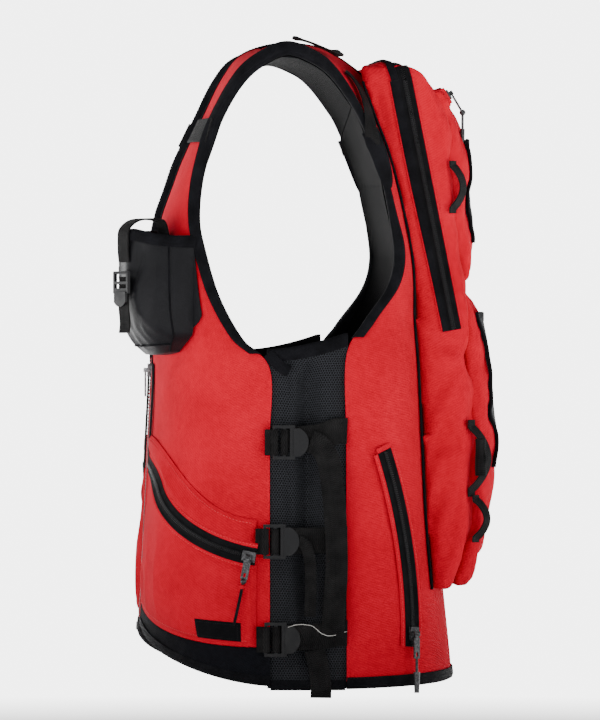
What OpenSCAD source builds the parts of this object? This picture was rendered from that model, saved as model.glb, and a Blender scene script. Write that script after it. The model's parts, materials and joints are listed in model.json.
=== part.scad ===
// Cruiser-style safety harness vest with side adjusters, chest pouch and rucksack.
// Worn upright: the chest faces -Y, the wearer's left is +X and +Z is up.
// The origin is on the wearer's trunk axis, level with the lowest edge of the side hem.

/* [Body] */
// Half width of the trunk at the side seams
body_half_width = 190; // [180:1:205]
// Thickness of the red panels
panel_t = 3; // [2:0.5:3.5]
// Thickness of the padded lining
lining_t = 5.5; // [4:0.5:7]
// Width of the edge binding
binding_w = 10; // [7:1:12]
// How far the cargo pockets stand off the panel at their fullest
cargo_bulge = 15; // [10:1:18]

/* [Webbing] */
// Width of the adjuster and shoulder webbing
web_w = 25; // [20:1:26]
// Thickness of the webbing
web_t = 1.8; // [1.2:0.1:2]
// Width of the gear loop webbing
loop_w = 12; // [10:1:14]

/* [Pouch] */
// Depth of the chest pouch in front of the panel
pouch_depth = 46; // [40:1:56]

/* [Pack] */
// Half width of the rucksack at the top
pack_half_top = 112; // [100:1:115]
// Half width of the rucksack at the bottom
pack_half_bottom = 136; // [125:1:138]

/* [Zips] */
// Width of the tape of the large zips
tape_w = 15; // [12:1:16]
// Radius of the coil ridge
coil_r = 1.8; // [1.4:0.1:1.9]
// Radius of the pin that a puller turns on
pin_r = 0.9; // [0.7:0.05:1]

/* [Hidden] */
$fn = 32;
gap = 0.4;
lining_gap = 1.1;
binding_gap = 0.7;
tape_t = 1.2;
pin_clear = 0.08;

red = [0.72, 0.08, 0.09];
black = [0.08, 0.08, 0.09];
navy = [0.07, 0.08, 0.13];
grey = [0.4, 0.4, 0.42];
silver = [0.75, 0.75, 0.76];

// Edge of the vest next to the front opening and the neck, from the front hem over the
// shoulder to the middle of the nape. Stations 0 to 3 are level and 80 mm apart.
neck_edge = [[10.5, -151.4, 0], [10.5, -147.6, 80], [10.5, -143.7, 160], [10.5, -139.9, 240],
    [10.5, -137, 300], [17, -138, 335], [30, -138, 377], [50, -136, 426], [62, -131, 455],
    [70, -121, 483], [74, -111, 511], [74, -91, 553], [74, -73, 589], [74, -54, 611],
    [74, -20, 621], [70, 14, 619], [60, 36, 610], [38, 56, 598], [0, 68, 590]];
// Middle of the back, from the nape down to the hem, at the stations that follow
spine = [[0, 68, 590], [0, 84, 545], [0, 98, 490], [0, 110, 430], [0, 116, 385],
    [0, 120, 350], [0, 123, 310], [0, 127, 240], [0, 133, 160], [0, 142, 80], [0, 150, 0]];
// Side seam, armhole, and side seam again, at the same stations
w = body_half_width;
arm_edge = [[w, -36, 0], [w - 2, -36, 80], [w - 4, -36, 160], [w - 4, -36, 240],
    [w - 3, -36, 307], [w - 10, -63, 336], [w - 22, -85, 377], [w - 33, -99, 426],
    [w - 38, -103, 452], [w - 40, -101, 483], [w - 40, -95, 511], [w - 40, -82, 553],
    [w - 40, -60, 588], [w - 40, -38, 605], [w - 40, -16, 613], [w - 40, 8, 604],
    [w - 40, 26, 590], [w - 40, 46, 562], [w - 40, 61, 531], [w - 40, 74, 495],
    [w - 39, 83, 450], [w - 35, 87, 415], [w - 27, 79, 385], [w - 14, 54, 350],
    [w - 3, 36, 318], [w - 4, 36, 240], [w - 4, 36, 160], [w - 2, 36, 80], [w, 36, 0]];
// Fullness of the section at each station: 1 is flat, 2 is an ellipse
fullness = [2.4, 2.4, 2.4, 2.4, 2.4, 2.3, 2.2, 2.1, 2, 1.8, 1.6, 1.3, 1.3, 1.3, 1.3, 1.3,
    1.3, 1.4, 1.6, 1.8, 2, 2, 2.1, 2.3, 2.5, 2.6, 2.6, 2.6, 2.6];
nape = 18;
last_station = 28;
armpit_front = 4;
armpit_back = 24;
shoulder_seam = 13.5;
station_step = 80;

function unit(v) = v / norm(v);
function mix(a, b, f) = a + (b - a) * f;
function clamp(v, lo, hi) = min(max(v, lo), hi);
// Smooth curve through the stations of a list
function curve(p, s, last) =
    let (n = len(p) - 1, i = clamp(floor(s), 0, n - 1), f = s - i, b = p[i], c = p[i + 1],
        a = i > 0 ? p[i - 1] : 2 * b - c,
        d = i + 2 <= n ? p[i + 2] : is_undef(last) ? 2 * c - b : last)
    (2 * b + (c - a) * f + (2 * a - 5 * b + 4 * c - d) * f * f
        + (3 * b - a - 3 * c + d) * f * f * f) / 2;
function rows(p, x) =
    let (i = clamp(len([for (r = p) if (r[0] <= x) r]) - 1, 0, len(p) - 2))
    mix(p[i][1], p[i + 1][1], (x - p[i][0]) / (p[i + 1][0] - p[i][0]));
function inner_edge(t) = t <= nape ? curve(neck_edge, t, [-38, 56, 598]) : curve(spine, t - nape);
function outer_edge(t) = curve(arm_edge, t);
// A point of the vest: u runs from the inner edge to the outer one, t along the stations
function place(u, t) =
    let (a = inner_edge(t), b = outer_edge(t), p = 2 / curve(fullness, t),
        s = pow(sin(90 * u), p), c = pow(max(cos(90 * u), 0), p))
    [mix(a[0], b[0], s), mix(b[1], a[1], c), mix(a[2], b[2], u)];
function outward(u, t) =
    let (e = 0.01, u0 = max(u - e, 0), u1 = min(u + e, 1),
        t0 = max(t - e, 0), t1 = min(t + e, last_station))
    unit(cross(place(u1, t) - place(u0, t), place(u, t1) - place(u, t0)));
// The same point moved outward by d, with negative u for the wearer's right
function skin(u, t, d) =
    let (p = place(abs(u), t) + d * outward(abs(u), t))
    [u < 0 ? -p[0] : p[0], p[1], p[2]];
function strip_w(t) = norm(outer_edge(t) - inner_edge(t));
function hem_front(u) = 5 + 53 * pow(1 - u, 1.3);
function hem_back(u) = 2 + 8 * (1 - abs(u));
function facing_top(u) = 40 + 39 * pow(1 - u, 2);
function back_t(z) = last_station - z / station_step;

// Closed solid between two grids of points, each given by a function of a and b from 0 to 1
module solid(na, nb, lo, hi) {
    n = (na + 1) * (nb + 1);
    pts = [for (f = [lo, hi]) for (i = [0 : na]) for (j = [0 : nb]) f(i / na, j / nb)];
    function id(k, i, j) = k * n + i * (nb + 1) + j;
    faces = concat(
        [for (i = [0 : na - 1]) for (j = [0 : nb - 1])
            for (q = [[0, 1, 2], [0, 2, 3]])
                let (c = [id(0, i, j), id(0, i + 1, j), id(0, i + 1, j + 1), id(0, i, j + 1)])
                [c[q[0]], c[q[1]], c[q[2]]]],
        [for (i = [0 : na - 1]) for (j = [0 : nb - 1])
            for (q = [[0, 2, 1], [0, 3, 2]])
                let (c = [id(1, i, j), id(1, i + 1, j), id(1, i + 1, j + 1), id(1, i, j + 1)])
                [c[q[0]], c[q[1]], c[q[2]]]],
        [for (i = [0 : na - 1]) for (q = [[0, 2, 1], [0, 3, 2]])
            let (c = [id(0, i, 0), id(0, i + 1, 0), id(1, i + 1, 0), id(1, i, 0)])
            [c[q[0]], c[q[1]], c[q[2]]]],
        [for (i = [0 : na - 1]) for (q = [[0, 1, 2], [0, 2, 3]])
            let (c = [id(0, i, nb), id(0, i + 1, nb), id(1, i + 1, nb), id(1, i, nb)])
            [c[q[0]], c[q[1]], c[q[2]]]],
        [for (j = [0 : nb - 1]) for (q = [[0, 1, 2], [0, 2, 3]])
            let (c = [id(0, 0, j), id(0, 0, j + 1), id(1, 0, j + 1), id(1, 0, j)])
            [c[q[0]], c[q[1]], c[q[2]]]],
        [for (j = [0 : nb - 1]) for (q = [[0, 2, 1], [0, 3, 2]])
            let (c = [id(0, na, j), id(0, na, j + 1), id(1, na, j + 1), id(1, na, j)])
            [c[q[0]], c[q[1]], c[q[2]]]]);
    polyhedron(pts, faces, convexity = 6);
}
// Closed solid that lies on the vest: uv gives [u, t], and lo and hi are outward offsets
module layer(na, nb, uv, lo, hi) {
    solid(na, nb, function (a, b) skin(uv(a, b)[0], uv(a, b)[1], lo),
        function (a, b) skin(uv(a, b)[0], uv(a, b)[1], hi));
}
// Flat webbing swept along a list of points, with its width along one direction
module strap(path, wide, width, thick) {
    n = len(path) - 1;
    function dir(i) = unit(path[min(i + 1, n)] - path[max(i - 1, 0)]);
    function up(i) = unit(cross(wide, dir(i)));
    function at(i, a, k) = path[i] + unit(wide) * width * (a - 0.5) + up(i) * thick * k;
    solid(1, n, function (a, b) at(round(b * n), a, -0.5), function (a, b) at(round(b * n), a, 0.5));
}
// Moves a piece so that its own axes lie along x, y and z and its origin at o
module seat(o, x, y, z) {
    multmatrix([[x[0], y[0], z[0], o[0]], [x[1], y[1], z[1], o[1]], [x[2], y[2], z[2], o[2]],
        [0, 0, 0, 1]]) children();
}
module right() {
    mirror([1, 0, 0]) children();
}

// Panels, lining, facing and binding
edge_u = 0.003;
module front_panel() {
    layer(9, 30, function (a, b)
        let (u = mix(edge_u, 1 - edge_u, a), t0 = (facing_top(u) + 0.6) / station_step)
        [u, b < 0.3 ? mix(t0, 4, b / 0.3) : mix(4, shoulder_seam - 0.02, (b - 0.3) / 0.7)], 0, panel_t);
}
module front_panel_left() color(red) front_panel();
module front_panel_right() color(red) right() front_panel();
module shoulder_yoke() {
    layer(8, 12, function (a, b)
        [mix(edge_u, 1 - edge_u, a), mix(shoulder_seam + 0.02, nape - 0.03, b)], 0, panel_t);
}
module shoulder_yokes() color(red) {
    shoulder_yoke();
    right() shoulder_yoke();
}
module back_panel() color(red)
    layer(20, 24, function (a, b)
        let (u = mix(-1 + edge_u, 1 - edge_u, a))
        [u, mix(nape + 0.02, back_t(hem_back(u) + 8.5), b)], 0, panel_t);
module lining_front() {
    layer(8, 26, function (a, b)
        let (u = mix(edge_u, 1 - edge_u, a), t0 = hem_front(u) / station_step)
        [u, b < 0.3 ? mix(t0, 4, b / 0.3) : mix(4, nape - 0.03, (b - 0.3) / 0.7)], -lining_t, -lining_gap);
}
module front_lining_left() color(navy) lining_front();
module front_lining_right() color(navy) right() lining_front();
module back_lining() color(navy)
    layer(18, 16, function (a, b)
        let (u = mix(-1 + edge_u, 1 - edge_u, a))
        [u, mix(nape + 0.02, back_t(hem_back(u)), b)], -lining_t, -lining_gap);
module hem_facing() {
    layer(14, 2, function (a, b)
        let (u = mix(edge_u, 1 - edge_u, a))
        [u, mix(hem_front(u), facing_top(u), b) / station_step], 0, panel_t);
}
module hem_facing_left() color(black) hem_facing();
module hem_facing_right() color(black) right() hem_facing();
module back_hem_binding() color(black)
    layer(26, 1, function (a, b)
        let (u = mix(-1 + edge_u, 1 - edge_u, a))
        [u, back_t(hem_back(u) + mix(8, 0, b))], 0, panel_t + 0.6);
module armhole_binding() {
    layer(1, 52, function (a, b)
        let (t = mix(armpit_front + 0.05, armpit_back - 0.05, b))
        [mix(1 - binding_w / strip_w(t), 1, a), t], panel_t + binding_gap, panel_t + 2.2);
}
module armhole_binding_left() color(black) armhole_binding();
module armhole_binding_right() color(black) right() armhole_binding();
module neck_strip() {
    layer(1, 30, function (a, b)
        let (t = mix(armpit_front + 0.3, nape - 0.35, b))
        [mix(0, binding_w / strip_w(t), a), t], panel_t + binding_gap, panel_t + 2.2);
}
module neck_binding() color(black) {
    neck_strip();
    right() neck_strip();
}

// Side mesh, between the two side seams
mesh_out = 4;
function mesh_top(a) = 326 + 14 * a;
function side_point(a, z, d) =
    let (tf = z < 240 ? z / 80 : 3 + (z - 240) / 63)
    [mix(w, w - 4, clamp(z / 160, 0, 1)) + mesh_out * sin(180 * a) + d, mix(-36, 36, a), z];
module side_mesh() {
    solid(8, 10, function (a, b) side_point(mix(0.012, 0.988, a), mix(3, mesh_top(a), b), -2.5),
        function (a, b) side_point(mix(0.012, 0.988, a), mix(3, mesh_top(a), b), 0));
}
module side_mesh_left() color(black) side_mesh();
module side_mesh_right() color(black) right() side_mesh();

// Shoulder webbing: a band across the front of each strap and a loop behind each shoulder
band_t0 = 10.1;
band_t1 = 11.1;
module shoulder_webs() {
    layer(6, 2, function (a, b)
        let (t = mix(band_t0, band_t1, b), e = (binding_w + 1) / strip_w(t))
        [mix(e, 1 - e, a), t], panel_t + gap, panel_t + gap + web_t);
    layer(1, 8, function (a, b)
        let (t = mix(16.6, 18.2, b))
        [mix(0.66, 0.84, a), t], panel_t + gap + 1.5, panel_t + gap + 1.5 + web_t);
}
module shoulder_webbing() color(black) {
    shoulder_webs();
    right() shoulder_webs();
}
// Loose tab that lies over the top of each shoulder, sewn at its front end
tab_start = [112, -7, 627.5];
tab_drop = 17;
tab_len = 50;
tab_thick = 4.5;
tab_tilt = atan2(tab_drop, tab_len);
module shoulder_tab() {
    translate(tab_start) rotate([-tab_tilt, 0, 0]) {
        translate([-web_w / 2, 0, 0]) rotate([0, 90, 0]) cylinder(r = tab_thick / 2, h = web_w);
        translate([-web_w / 2, 0, -tab_thick / 2])
            cube([web_w, tab_len - web_w / 2, tab_thick]);
        translate([0, tab_len - web_w / 2, -tab_thick / 2]) cylinder(r = web_w / 2, h = tab_thick);
    }
}
module shoulder_tab_left() color(black) shoulder_tab();
module shoulder_tab_right() color(black) right() shoulder_tab();

// Zip hardware in its own axes: X across the tape, Z along it, the tape's face at y = 0 and
// the outside toward -Y. The pin lies along X, and the puller hangs toward -Z.
slider_len = 13;
slider_half = 5;
slider_top = 4.2;
slide_clear = 0.35;
lug_in = 2.2;
lug_out = 3.2;
pin_y = -6.2;
module slider_shape() {
    difference() {
        translate([-slider_half, -slider_top, -slider_len / 2])
            cube([2 * slider_half, slider_top - slide_clear, slider_len]);
        translate([0, -0.2, -slider_len]) cylinder(r = coil_r + slide_clear, h = 2 * slider_len);
    }
}
module lugs_and_pin() {
    for (s = [-1, 1])
        translate([s * (lug_in + lug_out) / 2 - (lug_out - lug_in) / 2, pin_y - 1.6, -2.2])
            cube([lug_out - lug_in, -pin_y - slider_top + 2.1, 4.4]);
    translate([-lug_out, pin_y, 0]) rotate([0, 90, 0]) cylinder(r = pin_r, h = 2 * lug_out);
}
module eye_and_tongue(length, wide) {
    difference() {
        union() {
            rotate([0, 90, 0]) translate([0, 0, -lug_in + 0.2]) cylinder(r = 1.9, h = 2 * lug_in - 0.4);
            translate([-1.9, -0.8, -5]) cube([3.8, 1.6, 4]);
            translate([-wide / 2, -0.8, -length]) cube([wide, 1.6, length - 4]);
        }
        rotate([0, 90, 0]) translate([0, 0, -5]) cylinder(r = pin_r + pin_clear, h = 10);
        translate([-1.2, -2, -length + 2]) cube([2.4, 4, 4]);
    }
}
// Straight zip: tape and coil ridge along Z
module straight_tape(length, wide) {
    translate([-wide / 2, 0, 0]) cube([wide, tape_t, length]);
    translate([0, -0.2, 0]) cylinder(r = coil_r, h = length);
}

// Centre front zip, leaning back with the chest
front_low = 62;
front_high = 318;
front_lean = atan2(151.4 - 137, 300);
front_y0 = -151.4 - panel_t - 0.2;
front_dir = [0, sin(front_lean), cos(front_lean)];
function front_at(z) = [0, front_y0 + z * tan(front_lean), z];
module on_front(z) {
    seat(front_at(z), [1, 0, 0], [0, cos(front_lean), -sin(front_lean)], front_dir) children();
}
module front_zip() color(black) {
    on_front(front_low) straight_tape((front_high - front_low) / cos(front_lean), 20);
    on_front(front_low) translate([-5, -3, -7]) cube([10, 4, 6.5]);
}
front_rest = 306;
module front_slider() color(silver) on_front(front_rest) {
    slider_shape();
    lugs_and_pin();
}
module front_puller() color(silver) on_front(front_rest)
    translate([0, pin_y, 0]) rotate([front_lean, 0, 0]) eye_and_tongue(26, 7);

// Cargo pocket zip: a true arc round the lower front corner of the body
arc_axis = unit([0.577, 0.028, 0.816]);
arc_centre = [101.3, -20, 193.5];
arc_r = 120;
arc_lean = 26;
arc_from = unit([194, -56, 129.3] - arc_centre);
arc_x = unit(arc_from - (arc_from * arc_axis) * arc_axis);
arc_y = cross(arc_axis, arc_x);
arc_sweep = 74;
arc_tail = 3;
// Direction out of the tape where the slider rests, and the way it travels there
arc_out = arc_x * cos(arc_lean) + arc_axis * sin(arc_lean);
arc_up = -arc_x * sin(arc_lean) + arc_axis * cos(arc_lean);
module on_arc() {
    seat(arc_centre, arc_x, arc_y, arc_axis) children();
}
module cargo_zip() {
    on_arc() rotate([0, 0, -arc_sweep]) rotate_extrude(angle = arc_sweep + arc_tail, $fn = 96)
        translate([arc_r, 0]) rotate([0, 0, arc_lean]) {
            translate([-tape_t, -tape_w / 2]) square([tape_t, tape_w]);
        }
    on_arc() rotate([0, 0, -arc_sweep]) rotate_extrude(angle = arc_sweep + arc_tail, $fn = 96)
        translate([arc_r + 0.2 - ridge_deep / 2, -ridge_wide / 2]) square([ridge_deep, ridge_wide]);
}
ridge_deep = 2.2;
ridge_wide = 2.6;
module cargo_zip_left() color(black) cargo_zip();
module cargo_zip_right() color(black) right() cargo_zip();
arc_rest = arc_centre + arc_x * arc_r;
module on_cargo() {
    seat(arc_rest, arc_up, -arc_out, cross(arc_up, -arc_out)) children();
}
module cargo_slider() {
    on_cargo() {
        difference() {
            translate([-slider_half, -slider_top, -slider_len / 2])
                cube([2 * slider_half, slider_top - 0.6, slider_len]);
            translate([-coil_r - 0.6, -coil_r - 0.7, -slider_len])
                cube([2 * coil_r + 1.2, 4, 2 * slider_len]);
        }
        rotate([0, 90, 0]) lugs_and_pin();
    }
}
module cargo_slider_left() color(black) cargo_slider();
module cargo_slider_right() color(black) right() cargo_slider();
// The pin of this slider lies along its travel, so the puller hangs square to the tape
cargo_pin = arc_rest + arc_out * (-pin_y);
cargo_pin_dir = cross(arc_axis, arc_x);
cargo_hang = unit([0, 0, 1] - cargo_pin_dir[2] * cargo_pin_dir);
module on_cargo_pin() {
    seat(cargo_pin, cargo_pin_dir, cross(cargo_hang, cargo_pin_dir), cargo_hang) children();
}
module cargo_puller() {
    on_cargo_pin() {
        eye_and_tongue(22, 7);
        translate([0, 0, -24]) sphere(r = 3);
    }
}
module cargo_puller_left() color(black) cargo_puller();
module cargo_puller_right() color(black) right() cargo_puller();
cord_d = 3;
cord_route = [[0, 0, -27], [0, 0, -33], [0, -0.4, -40], [0, -1, -47], [0, -2, -54], [0, -3, -61],
    [0, -4, -67]];
module tube(route, d) {
    n = len(route) - 1;
    sides = 8;
    pts = [for (i = [0 : n])
        let (along = unit(route[min(i + 1, n)] - route[max(i - 1, 0)]), across = [1, 0, 0],
            third = cross(along, across))
        for (j = [0 : sides - 1])
            route[i] + d / 2 * (cos(360 * j / sides) * across + sin(360 * j / sides) * third)];
    walls = [for (i = [0 : n - 1]) for (j = [0 : sides - 1])
        let (k = (j + 1) % sides)
        for (q = [[i * sides + j, i * sides + k, (i + 1) * sides + k],
            [i * sides + j, (i + 1) * sides + k, (i + 1) * sides + j]]) [q[0], q[2], q[1]]];
    ends = [[for (j = [0 : sides - 1]) j], [for (j = [sides - 1 : -1 : 0]) n * sides + j]];
    polyhedron(pts, concat(walls, ends));
}
module cargo_cord() {
    on_cargo_pin() tube(cord_route, cord_d);
}
module cargo_cord_left() color(black) cargo_cord();
module cargo_cord_right() color(black) right() cargo_cord();

// Cargo pocket: padded body from the slanted top edge to the hem facing
function cargo_top(u) = 163 + 40 * (1 + cos(180 * clamp((u - 0.05) / 0.92, 0, 1)));
module cargo_body() {
    function uv(a, b) =
        let (u = mix(0.07, 0.945, a))
        [u, mix(facing_top(u) + 1, cargo_top(u), b) / station_step];
    function puff(a, b) = 1 + (cargo_bulge - 4.8) * pow(sin(180 * a), 0.6)
        * (b < 0.6 ? sin(180 * b / 0.6) : 0);
    solid(14, 9, function (a, b) skin(uv(a, b)[0], uv(a, b)[1], panel_t + gap),
        function (a, b) skin(uv(a, b)[0], uv(a, b)[1], panel_t + gap + puff(a, b)));
}
module cargo_pocket_left() color(red) cargo_body();
module cargo_pocket_right() color(red) right() cargo_body();

// Blank label patch on the front of the left cargo pocket
module label_patch() color(black)
    layer(3, 2, function (a, b) [mix(0.63, 0.83, a), mix(56, 72, b) / station_step],
        panel_t + gap + cargo_bulge - 3, panel_t + gap + cargo_bulge - 2);

// Chest pouch: an open-topped bag on the wearer's left, facing forward and outward
pouch_turn = 27;
pouch_out = [sin(pouch_turn), -cos(pouch_turn), 0];
pouch_side = [cos(pouch_turn), sin(pouch_turn), 0];
pouch_base = panel_t + 2.6;
pouch_wall = 2.5;
function pouch_point(a, b, inset) =
    let (s = 2 * a - 1, k = 1 - 0.05 * inset,
        t = mix(4.55 + 0.1 * inset, 7.4, b), mid = mix(0.33, 0.515, b),
        half = mix(0.25, 0.415, b) * k,
        d = (pouch_depth - inset) * pow(sin(90 * clamp(0.12 + 1.25 * b, 0, 1)), 0.6))
    skin(mid + half * s, t, pouch_base) + pouch_out * d * pow(max(1 - pow(abs(s), 3), 0), 0.5);
module chest_pouch() color(black) {
    solid(20, 10, function (a, b) pouch_point(a, b, pouch_wall),
        function (a, b) pouch_point(a, b, 0));
}
// Webbing that loops over the mouth of the pouch and runs down its front
strap_foot = skin(0.5, 6.6, panel_t + gap);
pouch_strap_w = 20;
module on_pouch(out, z) {
    seat([strap_foot[0], strap_foot[1], z] + pouch_out * out, pouch_side, -pouch_out, [0, 0, 1])
        children();
}
strap_line = [[8, 439], [9, 445], [14, 450], [33, 450.5], [44, 448], [51.6, 440.5], [52.8, 431],
    [52.3, 418], [51.5, 405]];
module pouch_strap() color(black)
    strap([for (p = strap_line) [strap_foot[0], strap_foot[1], p[1]] + pouch_out * p[0]],
        pouch_side, pouch_strap_w, web_t);

// Ladder-lock buckle: turns on its first bar, which lies along Z, with the strap toward +Y
// and the outside toward +X
lock_bar_r = 1.5;
lock_rail = 3;
lock_h = web_w + 2 * lock_rail + 2;
lock_reach = 20;
lock_tab = 13;
module lock_shape(wide) {
    h = wide + 2 * lock_rail + 2;
    translate([0, 0, -h / 2]) cylinder(r = lock_bar_r, h = h);
    for (s = [-1, 1])
        translate([-1.5, 0, s * (h - lock_rail) / 2 - lock_rail / 2])
            cube([3, lock_reach, lock_rail]);
    translate([-1.5, 8.5, -h / 2 + 1]) cube([3, 2.6, h - 2]);
    translate([-1.5, 15, -h / 2 + 1]) cube([3, 4, h - 2]);
    intersection() {
        translate([-0.2, lock_reach - 2, 0]) rotate([0, 90, 0]) cylinder(r = lock_tab + 2, h = 2.6);
        translate([-1, lock_reach - 1.5, -h / 2 + 3]) cube([4, 20, h - 6]);
    }
}
// Sewn webbing anchor that wraps the first bar
anchor_len = 6;
module anchor_shape(wide) {
    difference() {
        union() {
            translate([0, 0, -wide / 2]) cylinder(r = lock_bar_r + 0.2 + web_t, h = wide);
            translate([-1, -anchor_len, -wide / 2]) cube([2, anchor_len - 1, wide]);
        }
        translate([0, 0, -wide]) cylinder(r = lock_bar_r + 0.2, h = 2 * wide);
    }
}
lock_out = w + 8;
top_at = [lock_out, -33, 237];
middle_at = [lock_out, -42, 142];
bottom_at = [lock_out, -41, 48];
module top_lock_left() color(grey) translate(top_at) lock_shape(web_w);
module middle_lock_left() color(grey) translate(middle_at) lock_shape(web_w);
module bottom_lock_left() color(grey) translate(bottom_at) lock_shape(web_w);
module top_lock_right() color(grey) right() translate(top_at) lock_shape(web_w);
module middle_lock_right() color(grey) right() translate(middle_at) lock_shape(web_w);
module bottom_lock_right() color(grey) right() translate(bottom_at) lock_shape(web_w);
pouch_lock_out = 54.6;
pouch_lock_z = 400;
module pouch_lock() color(grey) on_pouch(pouch_lock_out, pouch_lock_z)
    rotate([0, 90, 0]) rotate([0, 0, -90]) lock_shape(pouch_strap_w);

// Side adjuster straps: anchors, straps to the back panel and hanging tails
module adjuster(at, rise) {
    translate(at) anchor_shape(web_w);
    strap([[w + 5, at[1] + 12, at[2]], [w + 5.2, at[1] + 24, at[2] + rise / 4],
        [w + 5.2, 12, at[2] + rise / 2], [w + 5, 28, at[2] + rise], [w + 4.6, 38, at[2] + rise]],
        [0, 0, 1], web_w, web_t);
}
tail_w = 22;
module side_straps() {
    adjuster(top_at, 11);
    adjuster(middle_at, 2);
    adjuster(bottom_at, 6);
    strap([[w + 9.5, 4, 236], [w + 11, 13, 230], [w + 11.5, 20, 217], [w + 10, 24, 195],
        [w + 9, 26, 160], [w + 9, 27, 120], [w + 9, 25, 85], [w + 9.5, 23, 52]],
        [1, 0, 0], tail_w / 9, tail_w);
    strap([[w + 9.5, -2, 141], [w + 11, 0, 136], [w + 11, 1, 124], [w + 9.5, 2, 105],
        [w + 9, 2, 86], [w + 9.5, 1, 72]], [1, 0, 0], tail_w / 9, 10);
}
module side_straps_left() color(black) side_straps();
module side_straps_right() color(black) right() side_straps();

// Vertical chest zips beside the front opening, closed, with their ends under the pockets
module chest_zip() {
    layer(1, 4, function (a, b) [mix(0.05, 0.09, a), mix(3.2, 4.2, b)],
        panel_t + gap, panel_t + gap + 1.6);
}
module chest_zips() color(black) {
    chest_zip();
    right() chest_zip();
}

// Zips of the back side pockets: flat arcs in the plane of the fabric
hip_axis = unit([0.795, 0.605, 0.051]);
hip_r = 447.7;
hip_centre = [443.5, -255.5, 71.9] + hip_axis * 1.2;
hip_from = unit([173, 101.5, 52.6] - hip_centre);
hip_x = unit(hip_from - (hip_from * hip_axis) * hip_axis);
hip_y = cross(hip_axis, hip_x);
hip_sweep = 23;
hip_tail = 1.6;
module on_hip_arc() {
    seat(hip_centre, hip_x, hip_y, hip_axis) children();
}
module hip_zip() {
    on_hip_arc() rotate([0, 0, -hip_tail]) rotate_extrude(angle = hip_sweep + hip_tail, $fn = 256) {
        translate([hip_r - tape_w / 2, -tape_t]) square([tape_w, tape_t]);
        translate([hip_r - coil_r, -tape_t / 2]) square([2 * coil_r, tape_t / 2 + coil_r - 0.2]);
    }
}
module hip_zip_left() color(black) hip_zip();
module hip_zip_right() color(black) right() hip_zip();
hip_rest = hip_centre + hip_x * hip_r;
hip_up = hip_y;
module on_hip() {
    seat(hip_rest, cross(-hip_axis, hip_up), -hip_axis, hip_up) children();
}
module hip_slider() {
    on_hip() {
        difference() {
            translate([-slider_half, -slider_top, -slider_len / 2])
                cube([2 * slider_half, slider_top - 0.6, slider_len]);
            translate([-coil_r - 0.6, -coil_r - 0.7, -slider_len])
                cube([2 * coil_r + 1.2, 4, 2 * slider_len]);
        }
        lugs_and_pin();
    }
}
module hip_slider_left() color(black) hip_slider();
module hip_slider_right() color(black) right() hip_slider();
hip_pin = hip_rest + hip_axis * (-pin_y);
hip_pin_dir = cross(-hip_axis, hip_up);
module on_hip_pin() {
    seat(hip_pin, hip_pin_dir, -hip_axis, hip_up) children();
}
toggle_len = 20;
module hip_puller() {
    on_hip_pin() {
        eye_and_tongue(24, 7);
        translate([0, 0, -38]) cylinder(r = 1.3, h = 15);
        translate([0, 0, -37 - toggle_len]) cylinder(r1 = 2.4, r2 = 3.2, h = toggle_len);
    }
}
module hip_puller_left() color(black) hip_puller();
module hip_puller_right() color(black) right() hip_puller();

// Rucksack. Its front follows the back panel and its back face follows a profile.
pack_t0 = nape + 0.35;
pack_t1 = back_t(94);
back_profile = [[90, 142], [140, 158], [240, 164], [340, 157], [414, 152], [450, 144],
    [487, 136], [537, 125], [575, 112], [603, 92]];
upper_profile = [[380, 164], [412, 165], [509, 158], [528, 155], [578, 126], [586, 119]];
lower_profile = [[90, 150], [101, 166], [138, 173], [199, 183], [249, 184], [359, 172], [376, 163]];
function ease(x) = let (k = clamp(x, 0, 1)) k * k * (3 - 2 * k);
// The top corners of the rucksack reach forward over the shoulders
function pack_t(b) = mix(pack_t0, pack_t1, b);
function pack_lift(a) = 1.35 * ease((abs(a) - 0.45) / 0.5);
function pack_half(b) = mix(pack_half_top, pack_half_bottom, b);
function pack_z(b) = place(0, pack_t(b))[2] + 20 * pow(1 - b, 5);
function pack_front(a, b) =
    let (x = a * pack_half(b), t = mix(pack_t0 - pack_lift(a), pack_t1, b),
        p = 2 / curve(fullness, t), near = inner_edge(t)[0],
        s = max(abs(x) - near, 0) / (outer_edge(t)[0] - near), u = asin(pow(s, 1 / p)) / 90)
    skin(x < 0 ? -u : u, t, panel_t + gap) + [0, 0, 18 * pow(1 - b, 30)];
function pack_back(a, b) =
    let (f = pack_front(a, b), z = pack_z(b))
    [a * pack_half(b), mix(f[1], rows(back_profile, z), pow(max(1 - pow(abs(a), 8), 0), 0.125)), z];
function side(a) = let (s = 2 * a - 1) (s < 0 ? -1 : 1) * (1 - pow(1 - abs(s), 1.8));
module pack_body() color(red)
    solid(18, 20, function (a, b) pack_front(side(a), b), function (a, b) pack_back(side(a), b));
// Pocket on the back of the rucksack between two heights, following its own profile
module pack_pocket(b0, b1, profile, across) {
    low = function (a, b) pack_back(across * side(a), mix(b0, b1, b)) + [0, gap, 0];
    high = function (a, b)
        let (f = low(a, b), s = side(a))
        [f[0], mix(f[1] + 1, max(rows(profile, f[2]), f[1] + 2),
            pow(max(1 - pow(abs(s), 7), 0), 0.15)), f[2]];
    solid(14, 12, low, high);
}
pocket_split = 0.42;
module pack_outer_pocket() color(red) pack_pocket(0.045, pocket_split - 0.006, upper_profile, 0.9);
module pack_lower_pocket() color(red) pack_pocket(pocket_split, 0.995, lower_profile, 0.88);

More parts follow.
